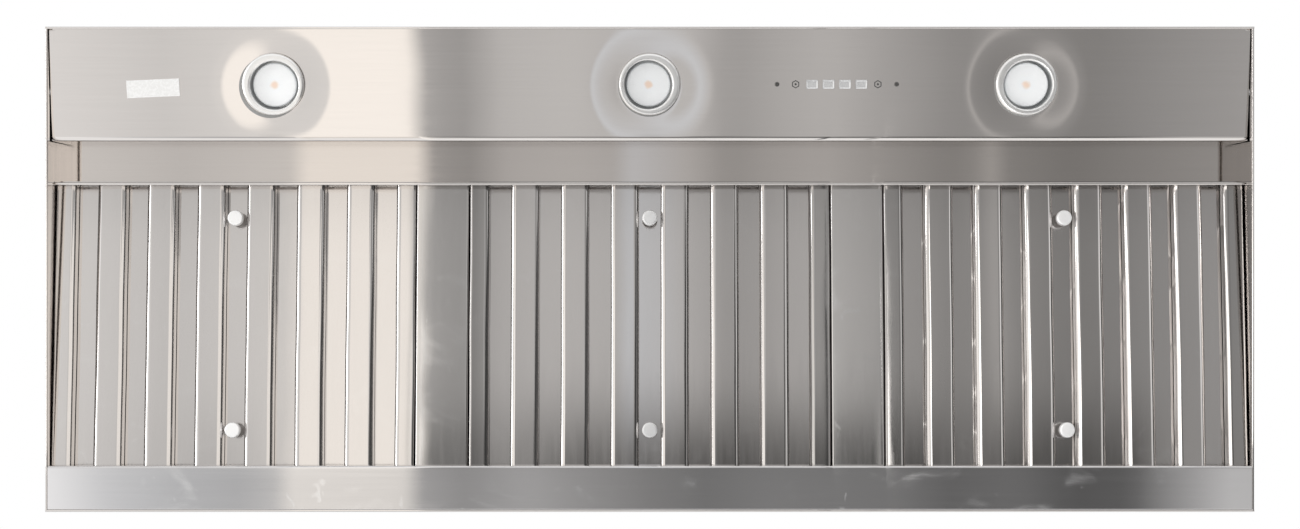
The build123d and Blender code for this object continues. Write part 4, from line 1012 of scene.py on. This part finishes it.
def side_card():
    """Dark card to the right of the hood, so that folds which face right stay dark."""
    shape = grid(1.5)
    bmesh.ops.rotate(shape, cent=(0, 0, 0), matrix=Matrix.Rotation(radians(90), 3, "Y"), verts=shape.verts)
    bmesh.ops.scale(shape, vec=(1, 2.4, 1), verts=shape.verts)
    bmesh.ops.translate(shape, vec=(3.9, 0, -1.5), verts=shape.verts)
    glowing("side_card", shape, (0.06, 0), (0.06, 0))


def uprights():
    """Upright cards in line with the camera's sight, so that only rounded edges mirror their sides.

    The light panel's own reflections pass in front of them. Each has its X in flat steel, and the level and
    warmth of its right and left sides.
    """
    top, bottom = (-0.14, -0.125, 0.247), (-0.999, 0.03, 0.29)
    sides = (
        ("left_post", -0.443, (1.0, 0.6), (1.15, 0.8)), ("left_post_back", -0.288, (1.3, 0.6), (1.15, 0.8)),
        ("right_post", 0.2245, (0.9, 0.2), (0.08, 0)), ("right_post_back", 0.289, (2.6, 0.4), (0.45, 0.2)),
    )
    for name, x, right, left in sides:
        shape = grid(1.0)
        for v in shape.verts:
            z, front, rear = top if v.co.x > 0 else bottom
            v.co = (x * (1 - z / CAMERA_DROP), rear if v.co.y > 0 else front, z)
        shape.normal_update()
        for face in shape.faces:
            if face.normal.x < 0:
                face.normal_flip()
        glowing(name, shape, right, left)


def world():
    """White where the camera sees it, a little darker overhead in reflections, and a softer grey as plain light."""
    sky = bpy.data.worlds.new("studio")
    bpy.context.scene.world = sky
    nodes = Nodes(sky)
    camera_ray, seen = nodes.watched()
    upward = nodes.axes(nodes.add("ShaderNodeTexCoord").outputs["Generated"])[2]
    shown = nodes.tint(camera_ray, nodes.span(upward, 0.12, 0.85, 1.0, 0.62), (1, 1, 1))
    nodes.put(nodes.tree.nodes["Background"], "Color", nodes.tint(seen, (0.72, 0.73, 0.74), shown))


def soft_lamp(name, place, aim, size, power):
    """Wide lamp that shines from a place toward an aim."""
    data = bpy.data.lights.new(name, "AREA")
    data.shape = "RECTANGLE"
    data.size, data.size_y = size
    data.energy = power
    lamp_object = bpy.data.objects.new(name, data)
    bpy.context.scene.collection.objects.link(lamp_object)
    lamp_object.location = place
    lamp_object.rotation_euler = (Vector(aim) - Vector(place)).to_track_quat("-Z", "Y").to_euler()


def camera():
    """Camera below the hood, placed and framed as the photo was taken."""
    data = bpy.data.cameras.new("camera")
    data.lens = 63.28
    data.clip_end = 60.0
    eye = bpy.data.objects.new("camera", data)
    bpy.context.scene.collection.objects.link(eye)
    eye.location = (0.0003, -0.0058, -CAMERA_DROP)
    eye.rotation_euler = (pi, 0, 0)
    bpy.context.scene.camera = eye


floor()
ground_card()
side_card()
uprights()
world()
soft_lamp("overhead", (-1.2, -1.4, 3.2), (0, 0, 0.2), (6.0, 5.0), 62.0)
soft_lamp("fill", (2.4, 1.6, 2.4), (0, 0, 0.2), (4.2, 3.4), 19.0)
soft_lamp("window", (-2.3, -0.2, -0.8), (0.1, 0.05, 0.04), (1.2, 0.3), 7.0)
camera()
bpy.context.scene.view_settings.view_transform = "Standard"
